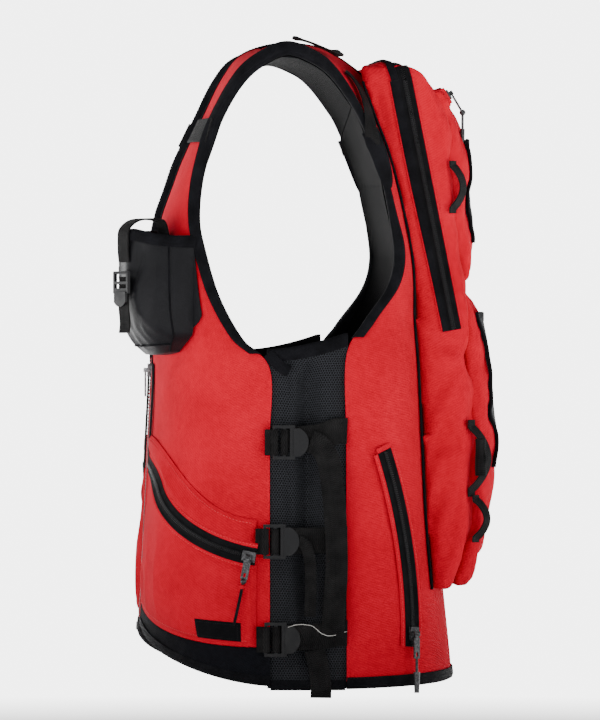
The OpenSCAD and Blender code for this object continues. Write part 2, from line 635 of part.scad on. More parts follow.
// Main zip of the rucksack, straight along each side wall
main_top = [pack_half_top + 1, 99, 588];
main_low = [pack_half_top + 12.6, 146, 345];
main_dir = unit(main_top - main_low);
main_out = unit([0.97, 0.2, 0] - ([0.97, 0.2, 0] * main_dir) * main_dir);
module on_main(d) {
    seat(main_low + main_dir * d, cross(-main_out, main_dir), -main_out, main_dir) children();
}
main_len = norm(main_top - main_low);
module main_side() {
    on_main(0) straight_tape(main_len, tape_w);
}
module pack_main_zip() color(black) {
    main_side();
    right() main_side();
}
main_rest = 12;
module pack_main_slider() color(black) right() on_main(main_rest) {
    slider_shape();
    lugs_and_pin();
}
main_pin = main_low + main_dir * main_rest + main_out * (-pin_y);
main_pin_dir = cross(-main_out, main_dir);
main_hang = unit([0, 0, 1] - main_pin_dir[2] * main_pin_dir);
module pack_main_puller() color(black) right()
    seat(main_pin, main_pin_dir, cross(main_hang, main_pin_dir), main_hang) eye_and_tongue(26, 7);

// Zip across the top of the outer pocket
outer_out = unit([0, 0.86, 0.51]);
outer_at = [0, 139.5, 571] + outer_out * 2.4;
outer_half = 92;
outer_rest = 84;
module on_outer(x) {
    seat(outer_at + [x, 0, 0], cross(-outer_out, [1, 0, 0]), -outer_out, [1, 0, 0]) children();
}
module pack_outer_zip() color(black) on_outer(-outer_half) straight_tape(2 * outer_half, 12);
module pack_outer_slider() color(silver) on_outer(outer_rest) {
    slider_shape();
    rotate([0, 90, 0]) lugs_and_pin();
}
outer_pin = outer_at + [outer_rest, 0, 0] + outer_out * (-pin_y);
outer_tab = 24;
outer_down = cross(outer_out, [1, 0, 0]);
module pack_outer_puller() color(silver) {
    seat(outer_pin, [-1, 0, 0], -outer_out, -outer_down) eye_and_tongue(outer_tab, 7);
    translate(outer_pin + outer_down * (outer_tab - 2)) {
        sphere(r = 3);
        translate([0, 0, -18]) cylinder(r = 1.3, h = 18);
        translate([0, 0, -16 - toggle_len]) cylinder(r1 = 1.8, r2 = 2.3, h = toggle_len);
    }
}

// Gear loops on the side seams of the rucksack, and a rolled keeper in the largest
module gear_loop(x, y, z0, z1, bulge) {
    n = 8;
    strap([for (i = [0 : n]) [x, y + bulge * sin(180 * i / n), mix(z0, z1, i / n)]],
        [1, 0, 0], loop_w, 1.6);
}
module pack_webs() {
    gear_loop(pack_half_top + 3, 147, 504, 463, 10);
    gear_loop(pack_half_bottom - 8, 164, 251, 191, 20);
    gear_loop(pack_half_bottom - 8, 168, 181, 144, 11);
    translate([pack_half_bottom - 8, 172, 205]) cylinder(r = 5.5, h = 34);
}
module pack_webbing() color(black) {
    pack_webs();
    right() pack_webs();
}

front_panel_left();
front_panel_right();
shoulder_yokes();
back_panel();
side_mesh_left();
side_mesh_right();
front_lining_left();
front_lining_right();
back_lining();
hem_facing_left();
hem_facing_right();
back_hem_binding();
armhole_binding_left();
armhole_binding_right();
neck_binding();
shoulder_webbing();
shoulder_tab_left();
shoulder_tab_right();
front_zip();
front_slider();
front_puller();
cargo_pocket_left();
cargo_pocket_right();
cargo_zip_left();
cargo_zip_right();
cargo_slider_left();
cargo_slider_right();
cargo_puller_left();
cargo_puller_right();
cargo_cord_left();
cargo_cord_right();
label_patch();
chest_pouch();
pouch_strap();
pouch_lock();
chest_zips();
side_straps_left();
side_straps_right();
top_lock_left();
middle_lock_left();
bottom_lock_left();
top_lock_right();
middle_lock_right();
bottom_lock_right();
hip_zip_left();
hip_zip_right();
hip_slider_left();
hip_slider_right();
hip_puller_left();
hip_puller_right();
pack_body();
pack_lower_pocket();
pack_outer_pocket();
pack_main_zip();
pack_main_slider();
pack_main_puller();
pack_outer_zip();
pack_outer_slider();
pack_outer_puller();
pack_webbing();
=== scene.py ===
"""Looks of the vest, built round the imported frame. Lengths are in millimetres until a mesh is made."""
import json
import math

import bmesh
import bpy
import numpy as np
from mathutils.bvhtree import BVHTree
from mathutils import Matrix, Vector

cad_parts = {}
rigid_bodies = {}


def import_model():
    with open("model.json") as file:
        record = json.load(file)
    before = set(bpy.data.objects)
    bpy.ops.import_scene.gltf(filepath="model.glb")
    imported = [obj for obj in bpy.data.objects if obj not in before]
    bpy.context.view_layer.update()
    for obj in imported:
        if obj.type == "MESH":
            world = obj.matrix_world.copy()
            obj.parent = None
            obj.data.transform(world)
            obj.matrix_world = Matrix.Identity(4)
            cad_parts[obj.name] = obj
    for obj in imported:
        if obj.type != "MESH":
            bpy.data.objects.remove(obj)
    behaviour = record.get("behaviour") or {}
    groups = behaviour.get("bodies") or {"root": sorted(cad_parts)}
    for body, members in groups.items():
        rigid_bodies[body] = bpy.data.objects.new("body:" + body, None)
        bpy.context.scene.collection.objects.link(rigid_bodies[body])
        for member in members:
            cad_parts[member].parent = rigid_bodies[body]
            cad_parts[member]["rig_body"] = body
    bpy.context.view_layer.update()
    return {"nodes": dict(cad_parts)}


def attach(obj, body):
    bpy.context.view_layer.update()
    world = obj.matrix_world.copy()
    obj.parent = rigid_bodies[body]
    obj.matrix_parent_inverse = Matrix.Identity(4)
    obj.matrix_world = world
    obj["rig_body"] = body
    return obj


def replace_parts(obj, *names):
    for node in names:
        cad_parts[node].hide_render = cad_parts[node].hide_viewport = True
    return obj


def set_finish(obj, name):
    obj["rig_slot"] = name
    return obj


MM = 0.001
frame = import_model()


def add(name, data):
    obj = bpy.data.objects.new(name, data)
    bpy.context.scene.collection.objects.link(obj)
    return obj


# ---------------------------------------------------------------- camera
VIEW_TURN, VIEW_AWAY, LENS = math.radians(86), 9.0, 459.4
aim = Vector((0.0022, 0.0055, 0.316))
toward = Vector((math.sin(VIEW_TURN), -math.cos(VIEW_TURN), 0))
camera = add("camera", bpy.data.cameras.new("camera"))
camera.location = aim + toward * VIEW_AWAY
camera.rotation_euler = toward.to_track_quat("Z", "Y").to_euler()
camera.data.lens, camera.data.sensor_width = LENS, 36
bpy.context.scene.camera = camera

# ---------------------------------------------------------------- shape of the body
# Stations t run up the front, over the shoulder (SEAM) and down the back; u runs from the neck edge,
# or the middle of the back, to the armhole. Near the hems a station is STEP mm high.
W = 190
STEP = 80
NAPE = 18
LAST = 28
SEAM = 13.5
NECK = np.array([(10.5, -151.4, 0), (10.5, -147.6, 80), (10.5, -143.7, 160), (10.5, -139.9, 240),
    (10.5, -137, 300), (17, -138, 335), (30, -138, 377), (50, -136, 426), (62, -131, 455),
    (70, -121, 483), (74, -111, 511), (74, -91, 553), (74, -73, 589), (74, -54, 611),
    (74, -20, 621), (70, 14, 619), (60, 36, 610), (38, 56, 598), (0, 68, 590)], float)
SPINE = np.array([(0, 68, 590), (0, 84, 545), (0, 98, 490), (0, 110, 430), (0, 116, 385),
    (0, 120, 350), (0, 123, 310), (0, 127, 240), (0, 133, 160), (0, 142, 80), (0, 150, 0)], float)
ARM = np.array([(W, -36, 0), (W - 2, -36, 80), (W - 4, -36, 160), (W - 4, -36, 240),
    (W - 3, -36, 307), (W - 10, -63, 336), (W - 22, -85, 377), (W - 33, -99, 426),
    (W - 38, -103, 452), (W - 40, -101, 483), (W - 40, -95, 511), (W - 40, -82, 553),
    (W - 40, -60, 588), (W - 40, -38, 605), (W - 40, -16, 613), (W - 40, 8, 604),
    (W - 40, 26, 590), (W - 40, 46, 562), (W - 40, 61, 531), (W - 40, 74, 495),
    (W - 39, 83, 450), (W - 35, 87, 415), (W - 27, 79, 385), (W - 14, 54, 350),
    (W - 3, 36, 318), (W - 4, 36, 240), (W - 4, 36, 160), (W - 2, 36, 80), (W, 36, 0)], float)
THICK, ON_PANEL = 3, 3.4
# How square the vest's section is at each station
FULL = np.array([2.4, 2.4, 2.4, 2.4, 2.4, 2.3, 2.2, 2.1, 2, 1.8, 1.6, 1.3, 1.3, 1.3, 1.3, 1.3,
    1.3, 1.4, 1.6, 1.8, 2, 2, 2.1, 2.3, 2.5, 2.6, 2.6, 2.6, 2.6])[:, None]


def unit(v):
    v = np.asarray(v, float)
    return v / np.maximum(np.linalg.norm(v, axis=-1, keepdims=True), 1e-9)


def run_of(path):
    """Distance along a path at each of its points."""
    return np.concatenate([[0], np.cumsum(np.linalg.norm(np.diff(path, axis=0), axis=-1))])


def heading(path):
    return unit(np.gradient(path, axis=0))


def square_to(v, d):
    """The part of v at right angles to d, as unit vectors."""
    return unit(v - (v * d).sum(-1, keepdims=True) * d)


def mix(a, b, f):
    return a + (b - a) * f


def ease(x):
    x = np.clip(x, 0, 1)
    return x * x * (3 - 2 * x)


def spline(points, s, last=None):
    """Smooth curve through a list of stations, as in the part's source."""
    n = len(points) - 1
    end = 2 * points[-1] - points[-2] if last is None else np.array(last, float)
    p = np.vstack([2 * points[0] - points[1], points, end])
    s = np.asarray(s, float)
    i = np.clip(np.floor(s), 0, n - 1).astype(int)
    f = (s - i)[..., None]
    a, b, c, d = p[i], p[i + 1], p[i + 2], p[i + 3]
    return (2 * b + (c - a) * f + (2 * a - 5 * b + 4 * c - d) * f**2
            + (3 * b - a - 3 * c + d) * f**3) / 2


def inner_edge(t):
    t = np.asarray(t, float)
    return np.where((t <= NAPE)[..., None], spline(NECK, np.minimum(t, NAPE), (-38, 56, 598)),
                    spline(SPINE, np.maximum(t - NAPE, 0)))


def place(u, t):
    u, t = np.broadcast_arrays(np.asarray(u, float), np.asarray(t, float))
    a, b = inner_edge(t), spline(ARM, t)
    p = 2 / spline(FULL, t)[..., 0]
    s = np.sin(np.pi / 2 * u) ** p
    c = np.maximum(np.cos(np.pi / 2 * u), 0) ** p
    return np.stack([mix(a[..., 0], b[..., 0], s), mix(b[..., 1], a[..., 1], c),
                     mix(a[..., 2], b[..., 2], u)], -1)


def outward(u, t):
    e = 0.01
    du = place(np.minimum(u + e, 1), t) - place(np.maximum(u - e, 0), t)
    dt = place(u, np.minimum(t + e, LAST)) - place(u, np.maximum(t - e, 0))
    return unit(np.cross(du, dt))


def skin(u, t, d):
    """A point of the vest d outside the panel's inner face; negative u is the wearer's right."""
    u, t, d = np.broadcast_arrays(np.asarray(u, float), np.asarray(t, float),
                                  np.asarray(d, float))
    p = place(abs(u), t) + d[..., None] * outward(abs(u), t)
    p[..., 0] *= np.where(u < 0, -1, 1)
    return p


def hem_front(u):
    return 5 + 53 * (1 - u) ** 1.3


def hem_back(u):
    return 2 + 8 * (1 - abs(u))


def facing_top(u):
    return 40 + 39 * (1 - u) ** 2


def back_t(z):
    return LAST - z / STEP


# ---------------------------------------------------------------- noise, meshes, sweeps
LATTICE_SIZE = 24
LATTICE = np.random.default_rng(7).random((LATTICE_SIZE, LATTICE_SIZE, LATTICE_SIZE))


def noise(p, size, seed):
    """Smooth noise from -1 to 1 at points p, with features of about the given size in mm."""
    q = np.asarray(p, float) / np.asarray(size, float) + seed * 3.17
    i = np.floor(q).astype(int)
    f = q - i
    f = f * f * (3 - 2 * f)
    out = 0
    for dx in (0, 1):
        for dy in (0, 1):
            for dz in (0, 1):
                w = np.abs(1 - dx - f[..., 0]) * np.abs(1 - dy - f[..., 1]) * np.abs(1 - dz - f[..., 2])
                at = tuple((i[..., k] + d) % LATTICE_SIZE for k, d in enumerate((dx, dy, dz)))
                out = out + w * LATTICE[at]
    return out * 2 - 1


def ridges(p, size, seed):
    """Sharp-crested folds."""
    return 1 - 2 * np.abs(noise(p, size, seed)) ** 0.8


def grid(nu, nv):
    return np.meshgrid(np.linspace(0, 1, nu + 1), np.linspace(0, 1, nv + 1), indexing="ij")


def set_uv(mesh, uv):
    layer = mesh.uv_layers.new(name="cloth")
    loops = np.zeros(len(mesh.loops), int)
    mesh.loops.foreach_get("vertex_index", loops)
    layer.data.foreach_set("uv", np.asarray(uv)[loops].ravel().astype(np.float32))


def make(name, verts, faces, material, body="vest", uv=None, sharp=50, recalc=True):
    mesh = bpy.data.meshes.new(name)
    mesh.from_pydata((np.asarray(verts) * MM).tolist(), [], faces)
    if uv is not None:
        set_uv(mesh, uv)
    if recalc:
        bm = bmesh.new()
        bm.from_mesh(mesh)
        bmesh.ops.recalc_face_normals(bm, faces=bm.faces)
        bm.to_mesh(mesh)
        bm.free()
    mesh.polygons.foreach_set("use_smooth", [True] * len(mesh.polygons))
    mesh.set_sharp_from_angle(angle=math.radians(sharp))
    mesh.materials.append(material)
    obj = add(name, mesh)
    if body:
        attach(obj, body)
        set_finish(obj, material["slot"])
    return obj


def cloth_uv(top):
    s = np.zeros(top.shape[:2])
    t = np.zeros(top.shape[:2])
    s[1:] = np.cumsum(np.linalg.norm(np.diff(top, axis=0), axis=-1), axis=0)
    t[:, 1:] = np.cumsum(np.linalg.norm(np.diff(top, axis=1), axis=-1), axis=1)
    s -= s[s.shape[0] // 2]
    return np.stack([s, t], -1).reshape(-1, 2)


def quads(n, m, base=0, wrap=False):
    """Faces of a grid of n by m points, closed across it or not."""
    i, j = np.arange(n - 1)[:, None], np.arange(m if wrap else m - 1)[None, :]
    l = (j + 1) % m
    f = np.stack([i * m + j, (i + 1) * m + j, (i + 1) * m + l, i * m + l], -1) + base
    return f.reshape(-1, 4).tolist()


def slab(name, top, bottom, material, sharp=50):
    """Closed sheet between two grids of points."""
    n, m = top.shape[:2]
    count = n * m
    faces = quads(n, m) + [f[::-1] for f in quads(n, m, count)]
    rim = [(i * m + j, (i + 1) * m + j) for i in range(n - 1) for j in (0, m - 1)]
    rim += [(i * m + j, i * m + j + 1) for j in range(m - 1) for i in (0, n - 1)]
    faces += [[i, j, j + count, i + count] for i, j in rim]
    uv = cloth_uv(top)
    verts = np.concatenate([top.reshape(-1, 3), bottom.reshape(-1, 3)])
    return make(name, verts, faces, material, "vest", np.concatenate([uv, uv]), sharp)


def tube(name, path, s, n, profile, material, body, sharp):
    """Closed profiles of (s, n) points, one for each point of a path, with capped ends."""
    count, m = profile.shape[:2]
    pts = path[:, None] + s[:, None] * profile[..., :1] + n[:, None] * profile[..., 1:]
    faces = quads(count, m, wrap=True) + [list(range(m)), [(count - 1) * m + k for k in range(m)]]
    uv = np.stack([profile[..., 0], np.broadcast_to(run_of(path)[:, None], (count, m))], -1)
    return make(name, pts.reshape(-1, 3), faces, material, body, uv.reshape(-1, 2), sharp)


def sweep(name, path, side, profile, material, body="vest", sharp=40):
    """One profile swept along a path, its first direction kept close to side."""
    path, profile = np.asarray(path, float), np.asarray(profile, float)
    d = heading(path)
    s = square_to(np.broadcast_to(np.asarray(side, float), path.shape), d)
    profile = np.broadcast_to(profile, (len(path),) + profile.shape[-2:])
    return tube(name, path, s, np.cross(s, d), profile, material, body, sharp)


def resample(points, step):
    """Smooth path through a few points, with a vertex every step mm."""
    points = np.asarray(points, float)
    dense = spline(points, np.linspace(0, len(points) - 1, 40 * len(points)))
    along = run_of(dense)
    n = max(int(round(along[-1] / step)), 2)
    want = np.linspace(0, along[-1], n + 1)
    return np.stack([np.interp(want, along, dense[:, k]) for k in range(3)], -1)


def band(width, thick, soft=0.35, columns=6):
    """Profile of flat webbing with rounded edges."""
    w, h = width / 2, thick / 2
    xs = np.linspace(-w + soft * thick, w - soft * thick, columns + 1)
    upper = [(x, h) for x in xs]
    lower = [(x, -h) for x in xs[::-1]]
    return [(-w, h * 0.3)] + upper + [(w, h * 0.3), (w, -h * 0.3)] + lower + [(-w, -h * 0.3)]


def ring(radius, sides, squash=1.0):
    a = np.linspace(0, 2 * math.pi, sides, endpoint=False)
    return [(radius * math.cos(x), squash * radius * math.sin(x)) for x in a]


def tapered(shape, wide, high=1.0):
    """A profile for each point of a path, scaled to its width and thickness."""
    return np.array(shape)[None] * np.stack([wide, high + 0 * wide], -1)[:, None]


def repeated(name, p, axes, shape, faces, material, body, sharp):
    """A small solid at each of the points p, turned to the axes there."""
    verts = p[:, None] + sum(axis[:, None] * shape[None, :, k:k + 1] for k, axis in enumerate(axes))
    all_faces = [[k * len(shape) + i for i in f] for k in range(len(p)) for f in faces]
    return make(name, verts.reshape(-1, 3), all_faces, material, body, recalc=False, sharp=sharp)


def between(values, run, at):
    """Values given along a path, at other distances along it."""
    return np.stack([np.interp(at, run, values[:, k]) for k in range(3)], -1)


STITCH = np.array([(-0.5, 0, 0), (-0.3, 0.5, 0), (0.3, 0.5, 0), (0.5, 0, 0), (0.3, -0.5, 0), (-0.3, -0.5, 0),
    (-0.28, 0, 1), (0.28, 0, 1)])
STITCH_FACES = [(0, 1, 6), (1, 2, 7, 6), (2, 3, 7), (3, 4, 7), (4, 5, 6, 7), (5, 0, 6)]


def stitches(name, path, normals, material, body="vest", pitch=3.4, long=2.3, wide=0.55, lift=0.15):
    """Row of thread stitches along a path that lies on a surface."""
    path, normals = np.asarray(path, float), np.asarray(normals, float)
    run = run_of(path)
    at = np.arange(pitch / 2, run[-1], pitch)
    n = unit(between(normals, run, at))
    d = unit(between(path, run, at + 0.5) - between(path, run, at - 0.5))
    shape = STITCH * [long, wide, 0.5 * wide] + [0, 0, 0.3 * lift]
    axes = (d, np.cross(d, n), n)
    return repeated(name, between(path, run, at), axes, shape, STITCH_FACES, material, body, 80)


def mirrored(obj, name=None):
    """Copy of a left-hand piece for the wearer's right."""
    mesh = obj.data.copy()
    mesh.transform(Matrix.Scale(-1, 4, (1, 0, 0)))
    mesh.flip_normals()
    twin = add(name or obj.name.replace("_left", "_right"), mesh)
    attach(twin, obj["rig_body"].replace("_left", "_right"))
    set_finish(twin, obj["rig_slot"])
    return twin


def pair(obj, node):
    """Mirrors a left-hand piece; each of the two replaces the CAD node of its own side."""
    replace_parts(obj, node)
    twin = mirrored(obj)
    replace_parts(twin, node.replace("_left", "_right"))
    return twin


# ---------------------------------------------------------------- materials
SLOTS = {"red_cloth": "red_fabric", "pouch_nylon": "pouch_nylon", "lining_cloth": "lining_fabric",
    "facing_cloth": "black_fabric", "patch_cloth": "patch", "binding_tape": "black_fabric",
    "webbing_weave": "webbing", "zip_tape": "zip_tape", "side_net": "mesh_fabric",
    "braided_cord": "cord", "buckle_plastic": "buckle_plastic",
    "coil_nylon": "zip_tape", "black_zip_metal": "zip_metal", "grey_zip_metal": "zip_metal",
    "red_thread": "red_fabric", "black_thread": "black_fabric", "pale_thread": "webbing"}


class Nodes:
    """A node tree to which nodes are added by short calls."""

    def __init__(self, tree):
        self.t = tree

    def node(self, kind, ins=None, **props):
        n = self.t.nodes.new(kind)
        for k, v in props.items():
            setattr(n, k, v)
        for k, v in (ins or {}).items():
            self.put(v, n.inputs[k])
        return n

    def put(self, v, socket):
        if isinstance(v, bpy.types.NodeSocket):
            self.t.links.new(v, socket)
        else:
            socket.default_value = v

    def math(self, op, a, b=0.0, c=0.0):
        return self.node("ShaderNodeMath", {0: a, 1: b, 2: c}, operation=op).outputs[0]


class Paint(Nodes):
    """A material on the vest, with its slot in the table of pieces."""

    def __init__(self, name, rough, sheen, spec, metal=0.0):
        self.m = bpy.data.materials.new("look_" + name)
        self.m["slot"] = SLOTS.get(name, "")
        self.m.use_nodes = True
        super().__init__(self.m.node_tree)
        self.bsdf = self.t.nodes["Principled BSDF"]
        for key, v in (("Roughness", rough), ("Sheen Weight", sheen), ("Specular IOR Level", spec),
                       ("Metallic", metal)):
            self.bsdf.inputs[key].default_value = v

    def total(self, start, *terms):
        """Sum of a start value and (socket, weight) pairs."""
        for socket, weight in terms:
            start = self.math("MULTIPLY_ADD", socket, weight, start)
        return start

    def coords(self):
        uv = self.node("ShaderNodeUVMap", uv_map="cloth").outputs[0]
        return self.node("ShaderNodeSeparateXYZ", {0: uv}).outputs[:2]

    def solid_coords(self):
        return self.node("ShaderNodeTexCoord").outputs["Object"]

    def noise(self, vector, scale, detail, rough=0.55):
        n = self.node("ShaderNodeTexNoise", {"Vector": vector, "Scale": scale, "Detail": detail,
                                             "Roughness": rough})
        return n.outputs[0]

    def ramp(self, fac, stops):
        n = self.node("ShaderNodeValToRGB", {0: fac})
        e = n.color_ramp.elements
        while len(e) < len(stops):
            e.new(0.5)
        for el, (pos, col) in zip(e, stops):
            el.position = pos
            el.color = (*col, 1)
        return n.outputs[0]

    def finish(self, colour, height=None, strength=0.3, distance=0.0005, rough=None):
        self.put(colour, self.bsdf.inputs["Base Color"])
        if height is not None:
            b = self.node("ShaderNodeBump", {"Height": height, "Strength": strength,
                                             "Distance": distance})
            self.put(b.outputs[0], self.bsdf.inputs["Normal"])
        if rough is not None:
            self.put(rough, self.bsdf.inputs["Roughness"])
        return self.m


def wave(p, x, pitch):
    return p.math("SINE", p.math("MULTIPLY", x, 2 * math.pi / pitch))


def woven(name, dark, mid, light, pitch=1.3, rough=0.8, strength=0.5, spec=0.025):
    """Woven cloth: two sets of yarns, a slanted twill line, slubs and broad shade changes."""
    p = Paint(name, rough, 0.015, spec)
    s, t = p.coords()
    obj = p.solid_coords()
    twill = wave(p, p.total(t, (s, 0.5)), pitch * 1.9)
    weave = p.total(p.math("MULTIPLY", wave(p, s, pitch), wave(p, t, pitch)), (twill, 0.6))
    slub, broad, fine = p.noise(obj, 900, 2), p.noise(obj, 14, 3), p.noise(obj, 160, 3)
    shade = p.total(-0.08, (weave, 0.10), (broad, 0.5), (fine, 0.30), (slub, 0.35))
    colour = p.ramp(shade, [(0.1, dark), (0.45, mid), (0.95, light)])
    return p.finish(colour, p.total(0.0, (weave, 0.5), (slub, 0.9)), strength, 0.0004)


def ribbed(name, dark, light, pitch, rough=0.66):
    """Webbing or binding tape: ribs across it, broken into a fine slanted weave."""
    p = Paint(name, rough, 0.01, 0.03)
    s, t = p.coords()
    rib = wave(p, p.total(t, (p.math("PINGPONG", s, 2.4), 0.5)), pitch)
    height = p.total(0.0, (rib, 0.7), (wave(p, s, 1.2), 0.3))
    shade = p.total(-0.02, (height, 0.22), (p.noise(p.solid_coords(), 60, 4), 1.0))
    return p.finish(p.ramp(shade, [(0.15, dark), (0.85, light)]), height, 0.6, 0.0004)


def netting(name):
    """Spacer mesh: a net of six-sided cells over a darker ground."""
    p = Paint(name, 0.6, 0.01, 0.06)
    s, t = p.coords()
    cell = 2.6
    fx = p.math("FRACT", p.math("DIVIDE", p.total(s, (t, 0.577)), cell))
    fy = p.math("FRACT", p.math("DIVIDE", p.math("MULTIPLY", t, 1.155), cell))
    dx, dy = p.math("SUBTRACT", fx, 0.5), p.math("SUBTRACT", fy, 0.5)
    far = p.math("MAXIMUM", p.math("ABSOLUTE", dx), p.math("ABSOLUTE", dy))
    far = p.math("MAXIMUM", far, p.math("ABSOLUTE", p.math("SUBTRACT", dx, dy)))
    strand = p.node("ShaderNodeMapRange", {0: far, 1: 0.28, 2: 0.42}).outputs[0]
    fuzz = p.noise(p.solid_coords(), 500, 2)
    shade = p.math("MULTIPLY", strand, p.math("ADD", fuzz, 0.5))
    colour = p.ramp(shade, [(0, (0.001, 0.001, 0.0015)), (1, (0.017, 0.018, 0.021))])
    return p.finish(colour, strand, 0.8, 0.0008)


def plastic(name, dark, light, rough, spec):
    p = Paint(name, rough, 0, spec)
    obj = p.solid_coords()
    grain = p.noise(obj, 2200, 2)
    scuff = p.noise(obj, 120, 5, 0.7)
    r = p.node("ShaderNodeMapRange", {0: scuff, 1: 0.35, 2: 0.7, 3: rough - 0.08, 4: rough + 0.2})
    return p.finish(p.ramp(scuff, [(0.3, dark), (0.75, light)]), grain, 0.12, 0.0002, r.outputs[0])


def lacquered(name, dark, worn, rough=0.34, metal=0.6):
    p = Paint(name, rough, 0, 0.5, metal)
    obj = p.solid_coords()
    scuff = p.noise(obj, 420, 5, 0.75)
    r = p.node("ShaderNodeMapRange", {0: scuff, 1: 0.3, 2: 0.75, 3: rough - 0.1, 4: rough + 0.25})
    return p.finish(p.ramp(scuff, [(0.45, dark), (0.72, worn)]), scuff, 0.15, 0.0002, r.outputs[0])


RED = woven("red_cloth", (0.22, 0.001, 0.006), (0.41, 0.0015, 0.013), (0.60, 0.010, 0.030), spec=0.02)
NYLON = woven("pouch_nylon", (0.0015, 0.0015, 0.002), (0.0035, 0.0035, 0.0045), (0.010, 0.010, 0.012),
              0.7, rough=0.45, strength=0.25, spec=0.09)
LINING = woven("lining_cloth", (0.0007, 0.0007, 0.0008), (0.0013, 0.0013, 0.0016),
               (0.0035, 0.0036, 0.0042), 1.0, rough=0.7, spec=0.02)
BLACK = woven("facing_cloth", (0.0015, 0.0015, 0.002), (0.0035, 0.0035, 0.0045), (0.009, 0.010, 0.014), 1.2)
PATCH = woven("patch_cloth", (0.001, 0.001, 0.0015), (0.0025, 0.0025, 0.003), (0.007, 0.007, 0.009), 0.6,
              rough=0.6, strength=0.3)
TAPE = ribbed("binding_tape", (0.0012, 0.0012, 0.0016), (0.008, 0.008, 0.010), 1.3)
WEB = ribbed("webbing_weave", (0.0018, 0.0018, 0.002), (0.014, 0.0135, 0.0135), 1.9)
ZIP = ribbed("zip_tape", (0.0015, 0.0015, 0.0018), (0.008, 0.008, 0.009), 0.9, rough=0.7)
NET = netting("side_net")
CORD = ribbed("braided_cord", (0.0015, 0.0015, 0.002), (0.011, 0.011, 0.013), 1.4)
BUCKLE = plastic("buckle_plastic", (0.003, 0.003, 0.0035), (0.009, 0.009, 0.010), 0.32, 0.10)
COIL = plastic("coil_nylon", (0.003, 0.003, 0.0035), (0.011, 0.011, 0.012), 0.35, 0.2)
METAL = lacquered("black_zip_metal", (0.008, 0.008, 0.009), (0.10, 0.10, 0.105))
STEEL = lacquered("grey_zip_metal", (0.06, 0.06, 0.063), (0.36, 0.36, 0.37), 0.32, 0.85)
THREAD = plastic("red_thread", (0.40, 0.012, 0.02), (0.62, 0.06, 0.07), 0.6, 0.1)
DARK_THREAD = plastic("black_thread", (0.005, 0.005, 0.006), (0.016, 0.016, 0.018), 0.6, 0.05)


# ---------------------------------------------------------------- cloth and displacement
def crease(p, start, end, width, depth):
    """Valley with raised shoulders along a line; returns how far each point moves outward."""
    start, end = np.array(start, float), np.array(end, float)
    d = end - start
    k = ((p - start) @ d) / (d @ d)
    dist = np.linalg.norm(p - (start + np.clip(k, 0, 1)[..., None] * d), axis=-1)
    taper = np.sin(np.pi * np.clip(0.04 + 0.92 * k, 0, 1)) ** 0.6
    return taper * depth * (0.45 * np.exp(-(dist / (2.5 * width)) ** 2) - np.exp(-(dist / width) ** 2))


def folded(rise, p, lines, scale=1.0):
    """A field of heights with a crease along each line."""
    for line in lines:
        rise = rise + crease(p, *line) * scale
    return rise


def grid_normals(p):
    return unit(np.cross(np.gradient(p, axis=0), np.gradient(p, axis=1)))


CLOTH_FRAMES = 20


def run_cloth(obj, pins, pressure, shrink, bend):
    """Runs obj as cloth with some points pinned, and returns its points in mm."""
    group = obj.vertex_groups.new(name="pin")
    for i, w in enumerate(pins):
        if w > 0:
            group.add([i], float(w), "REPLACE")
    m = obj.modifiers.new("cloth", "CLOTH")
    s = m.settings
    s.quality = 5
    s.mass = 0.2
    s.tension_stiffness = s.compression_stiffness = 12
    s.shear_stiffness = 6
    s.bending_stiffness = bend
    s.use_pressure = pressure != 0
    s.uniform_pressure_force = pressure
    s.shrink_min = s.shrink_max = -shrink
    s.vertex_group_mass = "pin"
    s.effector_weights.gravity = 0
    m.collision_settings.use_collision = False
    m.collision_settings.use_self_collision = False
    m.point_cache.frame_start, m.point_cache.frame_end = 1, CLOTH_FRAMES
    for f in range(1, CLOTH_FRAMES + 1):
        bpy.context.scene.frame_set(f)
    now = obj.evaluated_get(bpy.context.evaluated_depsgraph_get()).data
    co = np.zeros(len(now.vertices) * 3)
    now.vertices.foreach_get("co", co)
    obj.modifiers.remove(m)
    obj.vertex_groups.remove(group)
    bpy.context.scene.frame_set(1)
    return co.reshape(-1, 3) * 1000


def capped(before, after, cap):
    move = np.nan_to_num(after - before)
    far = np.linalg.norm(move, axis=-1, keepdims=True)
    return before + move * np.minimum(1, cap / np.maximum(far, 1e-6))


def points_of(mesh):
    co = np.zeros(len(mesh.vertices) * 3)
    mesh.vertices.foreach_get("co", co)
    return co.reshape(-1, 3) * 1000


def normals_of(mesh):
    no = np.zeros(len(mesh.vertices) * 3)
    mesh.vertex_normals.foreach_get("vector", no)
    return no.reshape(-1, 3)


def put_points(mesh, p):
    mesh.vertices.foreach_set("co", (p * MM).ravel())
    mesh.update()


def rumple(p, cap, shrink, pressure, bend):
    """Runs a grid of cloth, held along its edges, and returns the rumpled grid."""
    n, m = p.shape[:2]
    obj = make("rumple", p.reshape(-1, 3), quads(n, m), RED, None, recalc=False)
    pins = np.zeros((n, m))
    pins[[0, -1]] = 1
    pins[:, [0, -1]] = 1
    out = run_cloth(obj, pins.ravel(), pressure, shrink, bend)
    bpy.data.objects.remove(obj)
    return capped(p.reshape(-1, 3), out, cap).reshape(p.shape)


def apply(obj, kind, **settings):
    """Adds a modifier and makes its result the object's mesh."""
    m = obj.modifiers.new(kind.lower(), kind)
    for key, v in settings.items():
        setattr(m, key, v)
    bpy.context.view_layer.update()
    mesh = bpy.data.meshes.new_from_object(obj.evaluated_get(bpy.context.evaluated_depsgraph_get()))
    obj.modifiers.remove(m)
    obj.data = mesh
    return mesh


